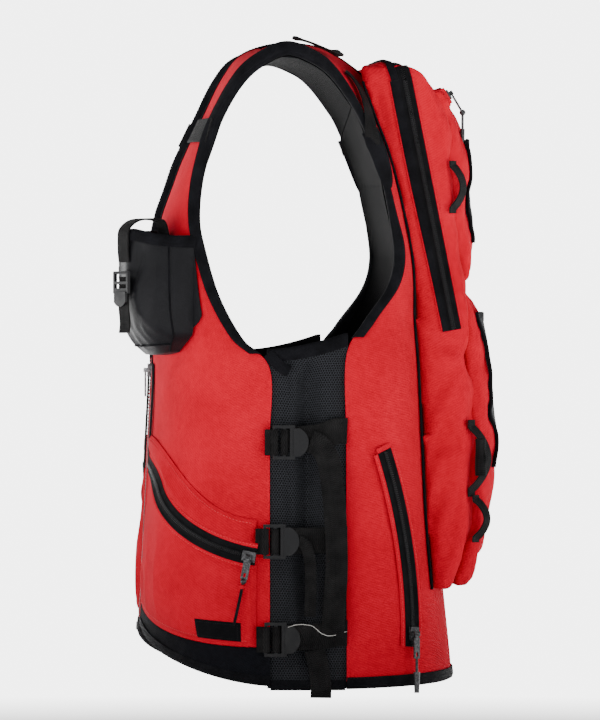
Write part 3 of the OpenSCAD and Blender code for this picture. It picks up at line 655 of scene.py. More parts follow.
def inflate(obj, voxel, hold, pressure, cap, shrink, shape):
    """Remeshes a stuffed piece, lets cloth swell between its held points, and adds shape(p, n) folds."""
    mesh = apply(obj, "REMESH", mode="VOXEL", voxel_size=voxel * MM)
    before = points_of(mesh)
    after = run_cloth(obj, hold(before, normals_of(mesh)), pressure, shrink, 0.5)
    put_points(mesh, capped(before, after, cap))
    mesh = apply(obj, "SUBSURF", levels=1)
    p, n = points_of(mesh), normals_of(mesh)
    put_points(mesh, p + n * shape(p, n)[:, None])
    for layer in list(mesh.uv_layers):
        mesh.uv_layers.remove(layer)
    set_uv(mesh, round_unwrap(p, n))
    mesh.polygons.foreach_set("use_smooth", [True] * len(mesh.polygons))


def round_unwrap(p, n):
    """Cloth coordinates that run round a pack-like body and up it."""
    x, y = p[:, 0], p[:, 1]
    return np.stack([x + np.clip(x / 60, -1, 1) * (180 - y),
                     p[:, 2] + 0.6 * (y - 120) * (abs(n[:, 2]) > 0.8)], -1)


# ---------------------------------------------------------------- cords of the cargo pullers
def seat(o, x, y, z):
    return lambda p: np.asarray(o) + np.asarray(p, float) @ np.array([x, y, z])


def spokes(axis, middle, start):
    """Two directions at right angles to an arc's axis, the first of them toward its start."""
    way = unit(np.array(start) - middle)
    x = unit(way - (way @ axis) * axis)
    return x, np.cross(axis, x)


ARC_AXIS = unit([0.577, 0.028, 0.816])
ARC_AT = np.array([101.3, -20, 193.5])
ARC_R, ARC_LEAN, ARC_SWEEP = 120, math.radians(26), 74
ARC_X, ARC_Y = spokes(ARC_AXIS, ARC_AT, (194, -56, 129.3))
arc_out = ARC_X * math.cos(ARC_LEAN) + ARC_AXIS * math.sin(ARC_LEAN)
cargo_pin = ARC_AT + ARC_X * ARC_R + arc_out * 6.2
cargo_hang = unit(np.array([0, 0, 1]) - ARC_Y[2] * ARC_Y)
on_cargo_pin = seat(cargo_pin, ARC_Y, np.cross(cargo_hang, ARC_Y), cargo_hang)
ROUTE = [(0, 0, -27), (0, 0, -33), (0, -0.4, -40), (0, -1, -47), (0, -2, -54), (0, -3, -61), (0, -4, -67)]
for hand, flip in (("left", 1), ("right", -1)):
    turn_over = np.array([flip, 1, 1])
    body = "cargo_puller_" + hand
    line = on_cargo_pin(resample(ROUTE, 2.5)) * turn_over
    girth = np.full(len(line), 1.5)
    girth[-1], girth[-2] = 0.9, 1.45
    pull_cord = sweep("cargo_pull_cord_" + hand, line, ARC_Y * turn_over, tapered(ring(1, 12), girth, girth),
                      CORD, body)
    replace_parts(pull_cord, "cargo_cord_" + hand)
    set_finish(pull_cord, "cord")
    knot = on_cargo_pin(resample([(0, 0, -27.6), (0, 0, -31.4)], 0.45)) * turn_over
    swell = 1.7 + 0.9 * np.sin(np.linspace(0, np.pi, len(knot))) ** 0.6
    sweep("cargo_cord_whip_" + hand, knot, ARC_Y * turn_over, tapered(ring(1, 12), swell, swell), RED, body)

# ---------------------------------------------------------------- rucksack
BACK_PROFILE = np.array([(90, 142), (140, 158), (240, 164), (340, 157), (414, 152), (450, 144), (487, 136),
    (537, 125), (575, 112), (603, 92)], float)
FULL_PROFILE = np.array([(90, 142), (140, 158), (240, 164), (340, 157), (414, 152), (450, 149), (487, 147),
    (545, 143), (575, 131), (592, 118), (603, 105)], float)
UPPER_PROFILE = np.array([(380, 164), (412, 165), (509, 160), (535, 157), (556, 149), (571, 138.5),
    (580, 131), (588, 120)], float)
LOWER_PROFILE = np.array([(90, 150), (101, 166), (138, 173), (199, 183), (249, 184), (359, 172), (376, 163)],
    float)
PACK_T0, PACK_T1 = NAPE + 0.35, back_t(94)
PACK_TOP, PACK_LOW = 112, 136


def rows(profile, z):
    k = np.clip(np.searchsorted(profile[:, 0], z, side="right") - 1, 0, len(profile) - 2)
    z0, z1 = profile[k, 0], profile[k + 1, 0]
    return mix(profile[k, 1], profile[k + 1, 1], (z - z0) / (z1 - z0))


def pack_front(a, b, lift=3.4):
    a, b = np.broadcast_arrays(np.asarray(a, float), np.asarray(b, float))
    half = mix(PACK_TOP, PACK_LOW, b)
    t = mix(PACK_T0 - 1.35 * ease((abs(a) - 0.45) / 0.5), PACK_T1, b)
    x = a * half
    p = 2 / spline(FULL, t)[..., 0]
    near = inner_edge(t)[..., 0]
    s = np.clip((abs(x) - near) / (spline(ARM, t)[..., 0] - near), 0, 1)
    u = np.arcsin(s ** (1 / p)) / (np.pi / 2)
    return skin(np.where(x < 0, -u, u), t, lift) + np.stack([0 * b, 0 * b, 20 * (1 - b) ** 30], -1)


def pack_back(a, b, square=8, more=0.0, profile=BACK_PROFILE):
    f = pack_front(a, b)
    z = place(0 * b, mix(PACK_T0, PACK_T1, b))[..., 2] + (20 + 2 * more) * (1 - b) ** 5
    k = np.maximum(1 - abs(a) ** square, 0) ** (1 / square)
    x = a * mix(PACK_TOP, PACK_LOW, b) + np.sign(a) * more * ease((abs(a) - 0.9) / 0.08)
    return np.stack([x, mix(f[..., 1], rows(profile, z), k), z], -1)


def side_of(a):
    s = 2 * a - 1
    return np.sign(s) * (1 - (1 - abs(s)) ** 1.8)


def both(p, f):
    """Value of f at p, the same on either side of the middle."""
    return f(np.concatenate([abs(p[..., :1]), p[..., 1:]], -1))


a, b = grid(60, 60)
across = side_of(a)
pack = slab("pack_body_cloth", pack_back(across, b, 14, 1.4, FULL_PROFILE), pack_front(across, b), RED)
SPLIT_Z = 338
MAIN_TOP, MAIN_LOW = np.array([113.0, 99, 588]), np.array([124.6, 146, 345])
main_dir = unit(MAIN_TOP - MAIN_LOW)


def pack_hold(p, n):
    """The front face, the rear seam, the split line and the cloth under the main zip don't move."""
    x = abs(p[:, 0])
    half = mix(PACK_TOP, PACK_LOW, np.clip((600 - p[:, 2]) / 506, 0, 1))
    front = n[:, 1] < -0.3
    rear_seam = (x > half - 12) & (n[:, 1] > 0.45) & (n[:, 1] < 0.9)
    split = abs(p[:, 2] - SPLIT_Z) < 4
    q = np.abs(p) - MAIN_LOW
    along = q @ main_dir
    zip_band = (np.linalg.norm(q - along[:, None] * main_dir, axis=-1) < 13) & (along > -8)
    return np.where(front | rear_seam | split | zip_band, 1.0, 0.0)


main_out = square_to(np.array([0.97, 0.2, 0]), main_dir)
main_f = np.linspace(0, 1, 90)
main_path = MAIN_LOW + (MAIN_TOP - MAIN_LOW) * main_f[:, None]
main_n = np.broadcast_to(main_out, main_path.shape)
ZIP_HALF = 92
arch = np.array([MAIN_TOP + main_out * 0.2, (111, 97, 596), (106, 94.5, 601.6), (ZIP_HALF, 92, 603.2),
                 (60, 90, 603.4), (30, 89, 603.2)])
arch = resample([*arch, (0, 89, 603), *(arch * [-1, 1, 1])[::-1]], 2.5)
turn_up = ease((np.abs(arch[:, 0]) - ZIP_HALF) / 20)
side_out = np.stack([np.sign(arch[:, 0]), 0.2 + 0 * turn_up, 0.1 + 0 * turn_up], -1)
arch_n = unit(mix(np.array([0, 0.25, 0.97]), unit(side_out), turn_up[:, None]))
OUTER_OUT = unit([0, 0.86, 0.51])
outer_x = np.linspace(-ZIP_HALF, ZIP_HALF, 100)
outer_path = np.array([0, 139.5, 571]) + OUTER_OUT * 2.4 + outer_x[:, None] * [1, 0, 0]
outer_n = np.broadcast_to(OUTER_OUT, outer_path.shape)


def settled(p, path, normals, flat, fade, under, reach=22):
    """Points of a cloth, brought level with the underside of the zip tape beside them."""
    k = np.array([np.argmin(((path - q) ** 2).sum(-1)) for q in p])
    d = p - path[k]
    h = (d * normals[k]).sum(-1)
    off = np.linalg.norm(d - h[:, None] * normals[k], axis=-1)
    w = (1 - ease((off - flat) / fade)) * (abs(h) < reach)
    return p + normals[k] * ((-under - h) * w)[:, None]


def settle(obj, path, normals, flat, fade):
    put_points(obj.data, settled(points_of(obj.data), path, normals, flat, fade, 1.2))


def folds_of(lines, shape):
    """Folds for inflate(): lines of creases and a shape(q, n), on every side but the front."""
    def total(p, n):
        return both(p, lambda q: folded(shape(q, n), q, lines)) * (1 - ease((-n[:, 1] - 0.1) / 0.3))
    return total


def pack_shape(q, n):
    side_wall = ease((abs(n[:, 0]) - 0.3) / 0.4)
    return 1.6 * ridges(q * np.array([1, 1, 0.22]), 22, 3) * side_wall + 0.7 * noise(q, 35, 4)


PACK_LINES = (((112, 72, 575), (124, 96, 500), 6, 4), ((124, 96, 505), (128, 104, 430), 6, 3),
    ((118, 88, 520), (127, 112, 470), 5, 2.5), ((128, 100, 470), (132, 112, 380), 7, 3.4),
    ((122, 108, 545), (128, 128, 450), 6, 2.2), ((132, 150, 312), (135, 108, 250), 8, 5.5),
    ((134, 108, 302), (133, 124, 297), 4, 3), ((134, 142, 262), (136, 116, 205), 7, 4.5),
    ((134, 144, 214), (136, 118, 150), 7, 5), ((135, 118, 180), (136, 120, 110), 8, 3.5),
    ((135, 150, 180), (134, 136, 110), 6, 3), ((131, 104, 338), (131, 150, 345), 2.2, 2.6))
inflate(pack, 6, pack_hold, 3.5, 7, 0.03, folds_of(PACK_LINES, pack_shape))
settle(pack, main_path, main_n, 15, 16)
settle(pack, main_path * [-1, 1, 1], main_n * [-1, 1, 1], 15, 16)
settle(pack, arch, arch_n, 12, 16)
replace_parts(pack, "pack_body")


def pocket_slab(name, b0, b1, profile, across, cells):
    """A pocket on the rucksack's back, from b0 to b1 down it and as deep as its profile says."""
    a, b = grid(50, cells)
    low = pack_back(across * side_of(a), mix(b0, b1, b)) + np.array([0, 0.4, 0])
    rise = np.maximum(1 - abs(side_of(a)) ** 7, 0) ** 0.15
    high = low.copy()
    high[..., 1] = mix(low[..., 1] + 1, np.maximum(rows(profile, low[..., 2]), low[..., 1] + 2), rise)
    return slab(name, high, low, RED)


def pocket_hold(p, n):
    rear_seam = (n[:, 1] > 0.4) & (n[:, 1] < 0.85) & (abs(p[:, 0]) > 60)
    return np.where((n[:, 1] < -0.2) | rear_seam, 1.0, 0.0)


def pocket_folds(scale, lines):
    def shape(q, n):
        return scale * noise(q, 30, 6) + 0.7 * scale * ridges(q * np.array([1, 1, 0.4]), 34, 8)
    return folds_of(lines, shape)


outer_pocket = pocket_slab("outer_pocket_cloth", 0.045, 0.414, UPPER_PROFILE, 0.9, 36)
inflate(outer_pocket, 5, pocket_hold, 3, 5, 0.03, pocket_folds(0.8, (
    ((100, 140, 552), (60, 150, 520), 6, 2.5), ((105, 150, 520), (108, 158, 420), 5, 2.2),
    ((70, 160, 470), (20, 163, 430), 7, 2))))
settle(outer_pocket, outer_path, outer_n, 7, 12)
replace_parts(outer_pocket, "pack_outer_pocket")
lower_pocket = pocket_slab("lower_pocket_cloth", 0.42, 0.995, LOWER_PROFILE, 0.88, 44)
inflate(lower_pocket, 5, pocket_hold, 3, 6, 0.04, pocket_folds(1.1, (
    ((118, 160, 330), (112, 172, 262), 6, 4), ((119, 168, 240), (116, 162, 150), 6, 3.5),
    ((117, 172, 200), (80, 182, 150), 7, 3), ((90, 184, 230), (40, 184, 180), 8, 3),
    ((116, 158, 130), (60, 170, 108), 6, 3))))
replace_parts(lower_pocket, "pack_lower_pocket")

# ---------------------------------------------------------------- chest pouch shell, before the rest
POUCH_OUT = np.array([math.sin(math.radians(27)), -math.cos(math.radians(27)), 0])
POUCH_SIDE = np.array([math.cos(math.radians(27)), math.sin(math.radians(27)), 0])


def pouch_point(a, b):
    """Point of the bag; b below 0 closes its bottom back to the panel."""
    s = 2 * a - 1
    up = np.maximum(b, 0)
    round_off = 0.62 + 0.38 * ease(up / 0.24) ** 0.7
    t = mix(4.55, 7.4, up) - 0.16 * ease(up) * ease(s)
    t = t + 0.1 * (1 - ease(up / 0.3)) * abs(s) ** 2
    mid, half = mix(0.34, 0.515, up), mix(0.265, 0.415, up) * round_off
    d = 46 * np.sin(np.pi / 2 * np.clip(0.12 + 1.25 * up, 0, 1)) ** 0.6
    d = d * np.where(b < 0, 1 + b / 0.08, 1)
    q = np.clip(1 - abs(s) ** 3, 0, 1) ** 0.5
    return skin(mid + half * s, t, 5.6) + POUCH_OUT * (d * q)[..., None]


a, b = grid(70, 52)
a = 0.5 + 0.5 * np.sin(np.pi * (a - 0.5))
b = mix(-0.08, 1, b)
bag = pouch_point(a, b)
slack = ease(b / 0.16) * ease((1.02 - b) / 0.2) * np.clip(1 - abs(2 * a - 1) ** 6, 0, 1)
sag = (1.6 * noise(bag, 26, 61) + 2.2 * (ridges(bag * np.array([1, 1, 0.3]), 21, 62) - 0.2)
       + 1.0 * ridges(bag, 13, 63) * (1 - ease((b - 0.15) / 0.3)))
sag = folded(sag, bag, (
    ((170, -160, 425), (158, -172, 372), 6, 5), ((146, -182, 420), (150, -180, 350), 7, 3.4),
    ((176, -150, 350), (150, -176, 330), 5, 4), ((183, -140, 400), (178, -146, 345), 5, 2.6),
    ((128, -190, 345), (150, -180, 332), 5, 3)))
lean = np.array([0, 0, -1.0]) * (2.5 * ease(b) * np.sin(2.2 * np.pi * a))[..., None]
bag = bag + (POUCH_OUT + 0.35 * POUCH_SIDE) * (np.clip(sag, -5.5, 2.4) * slack)[..., None] + lean
bag = rumple(bag, 5.5, 0.06, 0.5, 0.15)


# ---------------------------------------------------------------- shared builders
def along_skin(u, t, d):
    """Path on the vest with its outward directions."""
    n = outward(abs(np.asarray(u, float)), np.asarray(t, float))
    n[..., 0] *= np.where(np.asarray(u) < 0, -1, 1)
    return skin(u, t, d), n


def across_of(path, normals):
    """Direction in the surface and across the path."""
    return unit(np.cross(heading(path), normals))


TOOTH = np.array([(-1, -0.6, 0), (-0.6, -1, 0), (0.6, -1, 0), (1, -0.6, 0), (1, 0.6, 0), (0.6, 1, 0),
    (-0.6, 1, 0), (-1, 0.6, 0), (-0.7, -0.5, 1), (0.7, -0.5, 1), (0.7, 0.5, 1), (-0.7, 0.5, 1)])
TOOTH_FACES = [(0, 1, 8), (1, 2, 9, 8), (2, 3, 9), (3, 4, 10, 9), (4, 5, 10), (5, 6, 11, 10), (6, 7, 11),
    (7, 0, 8, 11), (8, 9, 10, 11)]


def zip_line(tag, path, normals, wide, coil=4.4, pitch=1.9, metal=COIL):
    """Zip: woven tape with two turned-in edges, a sunk line of teeth, and a cord ridge on each side."""
    d, s = heading(path), across_of(path, normals)
    w = wide / 2
    shape = [(-w, -0.9), (-w - 0.2, -0.3), (-w + 0.4, 0.15), (-w + 1.6, 0.2), (-w + 2.2, -0.1), (-2.9, 0.1),
             (-2.5, 0.55), (-2.0, 0.5), (-1.6, -0.3), (1.6, -0.3), (2.0, 0.5), (2.5, 0.55), (2.9, 0.1),
             (w - 2.2, -0.1), (w - 1.6, 0.2), (w - 0.4, 0.15), (w + 0.2, -0.3), (w, -0.9)]
    cloth = sweep(tag + "_tape", path, s, shape, ZIP, sharp=45)
    run = run_of(path)
    at = np.arange(1, run[-1] - 1, pitch / 2)
    hand = np.where(np.arange(len(at)) % 2, 1, -1)[:, None]
    d, s, n = (unit(between(v, run, at)) for v in (d, s, normals))
    p = between(path, run, at) + s * hand * coil * 0.2 + n * 0.05
    shape = TOOTH * [pitch * 0.31, coil * 0.31, 1.25]
    teeth = repeated(tag + "_teeth", p, (d, s, n), shape, TOOTH_FACES, metal, "vest", 70)
    return cloth, teeth


def lip(tag, path, normals, offset, rise):
    """Rolled edge of cloth that runs beside a zip, with a row of stitches outside it."""
    s = across_of(path, normals)
    out = np.sign(offset)
    edge = sweep(tag + "_lip", path + s * offset, s,
                 [(-1.3 * out, -0.8), (-1.2 * out, rise * 0.6), (-0.5 * out, rise), (1.2 * out, rise * 0.8),
                  (2.8 * out, rise * 0.2), (3.6 * out, -0.9)], RED)
    row = stitches(tag + "_thread", path + s * (offset + 1.6 * out) + normals * rise * 0.62, normals,
                   THREAD, lift=0.1)
    return edge, row


def refine(node, material, width, segments=2):
    """The CAD node's own shape with softened edges and a better finish."""
    src = frame["nodes"][node]
    obj = add("fine_" + node, src.data.copy())
    bm = bmesh.new()
    bm.from_mesh(obj.data)
    bmesh.ops.remove_doubles(bm, verts=bm.verts, dist=1e-5)
    bmesh.ops.dissolve_limit(bm, angle_limit=math.radians(1.5), verts=bm.verts, edges=bm.edges)
    bm.to_mesh(obj.data)
    bm.free()
    obj.data.materials.clear()
    obj.data.materials.append(material)
    obj.data.polygons.foreach_set("use_smooth", [True] * len(obj.data.polygons))
    m = obj.modifiers.new("edges", "BEVEL")
    m.width, m.segments, m.limit_method, m.angle_limit = width * MM, segments, "ANGLE", math.radians(40)
    m.harden_normals = True
    obj.data.set_sharp_from_angle(angle=math.radians(40))
    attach(obj, src["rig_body"])
    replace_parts(obj, node)
    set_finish(obj, material["slot"])
    return obj


def dips(a, length, size, depth):
    """How much a sheet's edge sinks, for a sheet of the given length in mm."""
    return -depth * (np.exp(-a * length / size) + np.exp(-(1 - a) * length / size))


# ---------------------------------------------------------------- panels and lining
STRAIGHT, STRAIGHT_SHARE = 4, 0.3


def two_spans(b, low, high):
    """Stations from low at the hem to high, evenly spaced below the station STRAIGHT and above it."""
    return np.where(b < STRAIGHT_SHARE, mix(low, STRAIGHT, b / STRAIGHT_SHARE),
                    mix(STRAIGHT, high, (b - STRAIGHT_SHARE) / (1 - STRAIGHT_SHARE)))


a, b = grid(56, 150)
u = mix(0.002, 0.999, a)
t = two_spans(b, (facing_top(u) + 0.4) / STEP, SEAM - 0.03)
p = skin(u, t, THICK)
rise = -0.45 + 0.55 * noise(p, 48, 1) + 0.25 * noise(p, 17, 2)
rise = rise + dips(a, 150, 2.6, 0.9) + dips(b, 560, 2.6, 0.9)
rise = folded(rise, p, (
    ((60, -140, 420), (120, -118, 380), 9, 1.6), ((150, -90, 300), (80, -140, 250), 14, 1.8),
    ((176, -60, 250), (120, -120, 215), 12, 1.4), ((100, -112, 520), (128, -104, 470), 7, 1.4),
    ((160, -80, 345), (178, -50, 300), 8, 1.5)), 0.8)
front = slab("front_panel_cloth_left", skin(u, t, THICK + np.clip(rise, -2.6, 0.7)),
             skin(u, t, 0.2 + np.minimum(rise, 0) * 0.4), RED)
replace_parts(front, "front_panel_left")
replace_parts(mirrored(front), "front_panel_right")

a, b = grid(46, 60)
u, t = mix(0.002, 0.998, a), mix(SEAM + 0.03, NAPE - 0.02, b)
rise = -0.4 + 0.5 * noise(skin(u, t, THICK), 36, 5) + dips(b, 95, 2.6, 1.0) + dips(a, 90, 2.6, 0.9)
yoke = slab("shoulder_yoke_left", skin(u, t, THICK + np.clip(rise, -2.4, 0.6)), skin(u, t, 0.2), RED)
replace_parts(yoke, "shoulder_yokes")
mirrored(yoke)

BACK_LINES = (((176, 44, 372), (142, 104, 352), 7, 3.2), ((172, 50, 350), (150, 98, 330), 6, 2.4),
    ((182, 44, 300), (158, 96, 250), 12, 2), ((186, 40, 190), (160, 96, 150), 14, 2),
    ((184, 46, 90), (150, 112, 60), 12, 2), ((176, 62, 30), (148, 116, 100), 9, 1.8))
a, b = grid(150, 150)
u = mix(-0.998, 0.998, a)
t = mix(NAPE + 0.02, back_t(hem_back(u) + 6), b)
rise = both(skin(u, t, THICK), lambda q: folded(
    -0.3 + 0.7 * noise(q, 52, 9) + 0.3 * noise(q, 20, 10) + dips(a, 420, 2.6, 0.9) + dips(b, 600, 2.6, 1.0),
    q, BACK_LINES))
back = slab("back_panel_cloth", skin(u, t, THICK + np.clip(rise, -2.7, 2.2)),
            skin(u, t, 0.2 + np.minimum(rise, 0) * 0.4), RED)
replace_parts(back, "back_panel")


def quilt(p, size):
    """Padding that is held down along level channels."""
    return np.abs(np.sin(np.pi * p[..., 2] / size)) ** 0.5


a, b = grid(44, 150)
u = mix(0.002, 0.998, a)
t = two_spans(b, (hem_front(u) + 1) / STEP, NAPE - 0.02)
p = skin(u, t, 0)
swell = 1.3 * quilt(p, 62) + 0.5 * noise(p, 26, 12) + dips(a, 140, 5, 1.6)
pad = slab("front_padding_left", skin(u, t, -1.0), skin(u, t, -4.6 - swell), LINING)
twin = pair(pad, "front_lining_left")
a, b = grid(110, 130)
u = mix(-0.998, 0.998, a)
t = mix(NAPE + 0.02, back_t(hem_back(u) + 1), b)
p = skin(u, t, 0)
swell = 1.5 * quilt(p, 70) + 0.6 * noise(p, 30, 13) + dips(a, 420, 5, 1.6)
pad = slab("back_padding", skin(u, t, -1.0), skin(u, t, -4.6 - swell), LINING)
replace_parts(pad, "back_lining")

# ---------------------------------------------------------------- hem, bindings, side net
a, b = grid(70, 16)
u = mix(0.002, 0.999, a)
t = mix(hem_front(u), facing_top(u), b) / STEP
p = skin(u, t, THICK)
rise = -0.2 + 0.9 * noise(p, 30, 15) + 0.5 * ridges(p, 18, 16) + dips(b, 36, 2, 0.6)
facing = slab("hem_facing_cloth_left", skin(u, t, 3.1 + np.clip(rise, -1.6, 0.8)), skin(u, t, -0.6), BLACK)
pair(facing, "hem_facing_left")
u = np.linspace(0.02, 0.985, 90)
path, n = along_skin(u, (facing_top(u) + 1.8) / STEP, 3.3)
mirrored(stitches("hem_thread_left", path, n, THREAD))


def wrap(name, path, inward, normals, out, deep, wide):
    """Edge tape folded round the edge of a sheet; out and deep are its reach either side of the edge."""
    shape = [(wide, out - 0.9), (wide, out - 0.1), (wide - 0.8, out + 0.1), (wide * 0.5, out + 0.35),
             (1.4, out + 0.2), (-0.9, out - 0.9), (-1.9, mix(out, -deep, 0.35)),
             (-1.9, mix(out, -deep, 0.65)), (-0.9, 0.9 - deep), (1.4, -deep - 0.2),
             (wide * 0.5, -deep - 0.4), (wide, -deep), (wide, 0.9 - deep), (1.5, 1.2 - deep), (1.0, 0.0),
             (1.5, out - 1.2)]
    p = np.asarray(path, float)
    shape = np.array(shape)[None] * np.ones((len(p), 1, 1))
    shape[:, 1:6, 1] += 0.22 * noise(p, 9, 20)[:, None]
    return tube(name, p, inward, normals, shape, TAPE, "vest", 45)


def edge_of(u, t, du, dt):
    """Points on the panel's inner face, the direction into the panel, and outward."""
    p, n = along_skin(u, t, 0)
    s = unit(skin(u + du, t + dt, 0) - p)
    return p, s, square_to(n, s)


t = np.linspace(4.42, 23.5, 200)
p, s, n = edge_of(np.full_like(t, 0.998), t, -0.03, 0)
pair(wrap("armhole_tape_left", p, s, n, 4.1, 6.2, 10), "armhole_binding_left")
mirrored(stitches("armhole_thread_left", p + s * 8.6 + n * 4.15, n, DARK_THREAD))
t = np.linspace(4.25, 17.98, 150)
p, s, n = edge_of(np.full_like(t, 0.003), t, 0.03, 0)
bind = wrap("neck_tape_left", p, s, n, 3.4, 6.0, 2.6)
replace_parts(bind, "neck_binding")
mirrored(bind)
mirrored(stitches("neck_thread_left", p + s * 1.9 + n * 3.75, n, DARK_THREAD))
u = np.linspace(-0.998, 0.998, 190)
p, s, n = edge_of(u, back_t(hem_back(u)), 0, -0.06)
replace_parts(wrap("back_hem_tape", p, s, n, 4.2, 6.6, 9.5), "back_hem_binding")
stitches("back_hem_thread", p + s * 8.3 + n * 4.3, n, DARK_THREAD)
u = np.linspace(0.004, 0.998, 90)
p, s, n = edge_of(u, hem_front(u) / STEP, 0, 0.06)
mirrored(wrap("front_hem_tape_left", p, s, n, 4.1, 6.4, 8))


def mesh_top(a):
    return 325 + 15 * np.clip(a, 0, 1) ** 1.7


def side_point(a, z, d):
    x = mix(W, W - 4, np.clip(z / 160, 0, 1)) + 4 * np.sin(np.pi * a) + d
    return np.stack([x, mix(-36, 36, a) + 0 * z, z + 0 * a], -1)


a, b = grid(56, 120)
z = mix(1, mesh_top(a), b)
fold = -13 * np.exp(-((a - 0.5) / 0.15) ** 2) * ease((z - 2) / 60) * ease((mesh_top(a) - 4 - z) / 30)
fold = fold - 3 * np.exp(-((a - 0.27) / 0.07) ** 2) * np.sin(z / 38) ** 2
ripple = 1.1 * noise(np.stack([a * 70, a * 0, z * 0.4], -1), 16, 22)
top = side_point(mix(-0.04, 1.04, a), z, fold + ripple)
pair(slab("side_net_left", top, top - np.array([1.8, 0, 0]), NET), "side_mesh_left")
OUTWARD = np.array([1.0, 0, 0])
a = np.linspace(-0.04, 1.04, 40)
p = side_point(a, mesh_top(a), -2.2)
s = np.cross(heading(p), OUTWARD)
s = unit(s * np.where(s[:, 2:] > 0, -1, 1))
n = np.broadcast_to(OUTWARD, p.shape)
mirrored(wrap("net_top_tape_left", p, s, n, 3.4, 3.2, 11))
p = side_point(np.linspace(0, 1, 40), 1.0, -1.5)
mirrored(wrap("net_hem_tape_left", p, np.broadcast_to((0, 0, 1.0), p.shape), n, 3, 2.6, 8))
corner = resample([(186.5, -38, 322), (190.5, -33, 316), (191, -25, 309), (190.5, -18, 305)], 1.5)
mirrored(sweep("armpit_fold_left", corner, (0, 0.6, 0.8), band(11, 2.2), TAPE))

# ---------------------------------------------------------------- webbing on the shoulders
a = np.linspace(0.055, 0.945, 50)
path, n = along_skin(a, np.full_like(a, 10.6), 4.6)
s = across_of(path, n)
shoulder_band = sweep("shoulder_band_left", path, s, band(25, 1.7), WEB)
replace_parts(shoulder_band, "shoulder_webbing")
mirrored(shoulder_band)
for k, e in ((0, 11.2), (1, -11.2)):
    mirrored(stitches("band_thread_left%d" % k, path + s * e + n * 0.9, n, DARK_THREAD, lift=0.05))
t = np.linspace(16.35, 18.3, 26)
u = mix(0.56, 0.985, ease((t - 16.35) / 1.9))
path, n = along_skin(u, t, 4.6 + 2.6 * np.sin(np.pi * (t - 16.35) / 1.95))
mirrored(sweep("rear_loop_left", path, across_of(path, n), band(15, 1.7), WEB))
t = np.linspace(17.9, 19.4, 24)
path, n = along_skin(np.full_like(t, 0.965), t, 5.2)
half = 9 * np.sqrt(np.clip(1 - ((t - 17.9) / 1.5) ** 4, 0, 1)) + 0.6
mirrored(sweep("rear_tongue_left", path, across_of(path, n), tapered(band(2, 1.5), half), TAPE))

# Loose tab over the top of the shoulder
tilt = math.atan2(17, 50)
tab = seat((112, -7, 627.5), (1, 0, 0), (0, math.cos(tilt), -math.sin(tilt)),
           (0, math.sin(tilt), math.cos(tilt)))
y = np.linspace(-2.2, 50, 60)
half = 12.3 * np.sqrt(np.clip(1 - np.clip((y - 37) / 13.2, 0, 1) ** 2.4, 0.002, 1))
thick = 1.1 + 1.0 * np.exp(-((y - 1) / 4) ** 2) + 2.4 * np.exp(-((y - 43) / 4.5) ** 2)
line = tab(np.stack([0 * y, y, 0.7 * np.sin(y / 9)], -1))
pair(sweep("shoulder_tab_web_left", line, (1, 0, 0), tapered(band(2, 2, 0.4, 10), half, thick), WEB,
           "shoulder_tab_left"), "shoulder_tab_left")
ends = tab(np.stack([np.linspace(-10, 10, 30), np.full(30, 5.5), np.full(30, 2.2)], -1))
n = np.broadcast_to(tab([(0, 0, 1)])[0] - tab([(0, 0, 0)])[0], ends.shape)
mirrored(stitches("tab_thread_left", ends, n, DARK_THREAD, "shoulder_tab_left"))

# ---------------------------------------------------------------- centre front zip, chest zips
LEAN = math.atan2(14.4, 300)
z = np.linspace(60, 318, 120)
path = np.stack([0 * z, -154.6 + z * math.tan(LEAN), z], -1)
n = np.broadcast_to(np.array([0, -math.cos(LEAN), math.sin(LEAN)]), path.shape)
cloth = zip_line("front_zip", path - n * 0.4, n, 21, metal=METAL, pitch=2.6, coil=6)[0]
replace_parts(cloth, "front_zip")
box = resample([(0, -155.6 + z * math.tan(LEAN), z) for z in (52.5, 60)], 1)
sweep("front_zip_box", box, (1, 0, 0), band(10, 4.5, 0.3), METAL)
fold = np.array([(-1.6, -1.8), (-1.7, 0.3), (-0.8, 1.1), (1.4, 1.0), (3.2, 0.0), (3.4, -1.8)])
for k, turn_over in ((0, -1), (1, 1)):
    edge = resample([(10.8 * turn_over, path[i, 1] + y, z) for i, y, z in
                     ((0, 0.5, 64), (60, 0.4, path[60, 2]), (-1, 0.5, 318))], 4)
    side = np.array([turn_over, 0.0, 0])
    sweep("front_fold_%d" % k, edge, side, fold[::turn_over] * [1, turn_over], RED)
    rail = edge + side * 2.6 + np.array([0, -0.9, 0])
    stitches("front_fold_thread_%d" % k, rail, np.broadcast_to(n[0], rail.shape), THREAD, lift=0.1)
t = np.linspace(2.6, 4.3, 50)
path, n = along_skin(np.full_like(t, 0.07), t, 4.2)
cloth, teeth = zip_line("chest_zip_left", path, n, 8.6, coil=3.4)
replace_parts(cloth, "chest_zips")
mirrored(cloth)
mirrored(teeth)

# ---------------------------------------------------------------- cargo pockets
def on_arc(deg):
    """Points on the pocket zip's arc, and the directions that its tape faces."""
    g = np.radians(deg)[..., None]
    spoke = ARC_X * np.cos(g) + ARC_Y * np.sin(g)
    return ARC_AT + spoke * ARC_R, spoke * math.cos(ARC_LEAN) + ARC_AXIS * math.sin(ARC_LEAN)


def cargo_top(u):
    return 163 + 40 * (1 + np.cos(np.pi * np.clip((u - 0.05) / 0.92, 0, 1)))


zip_mid, zip_face = on_arc(np.linspace(8 - ARC_SWEEP, 3, 140))
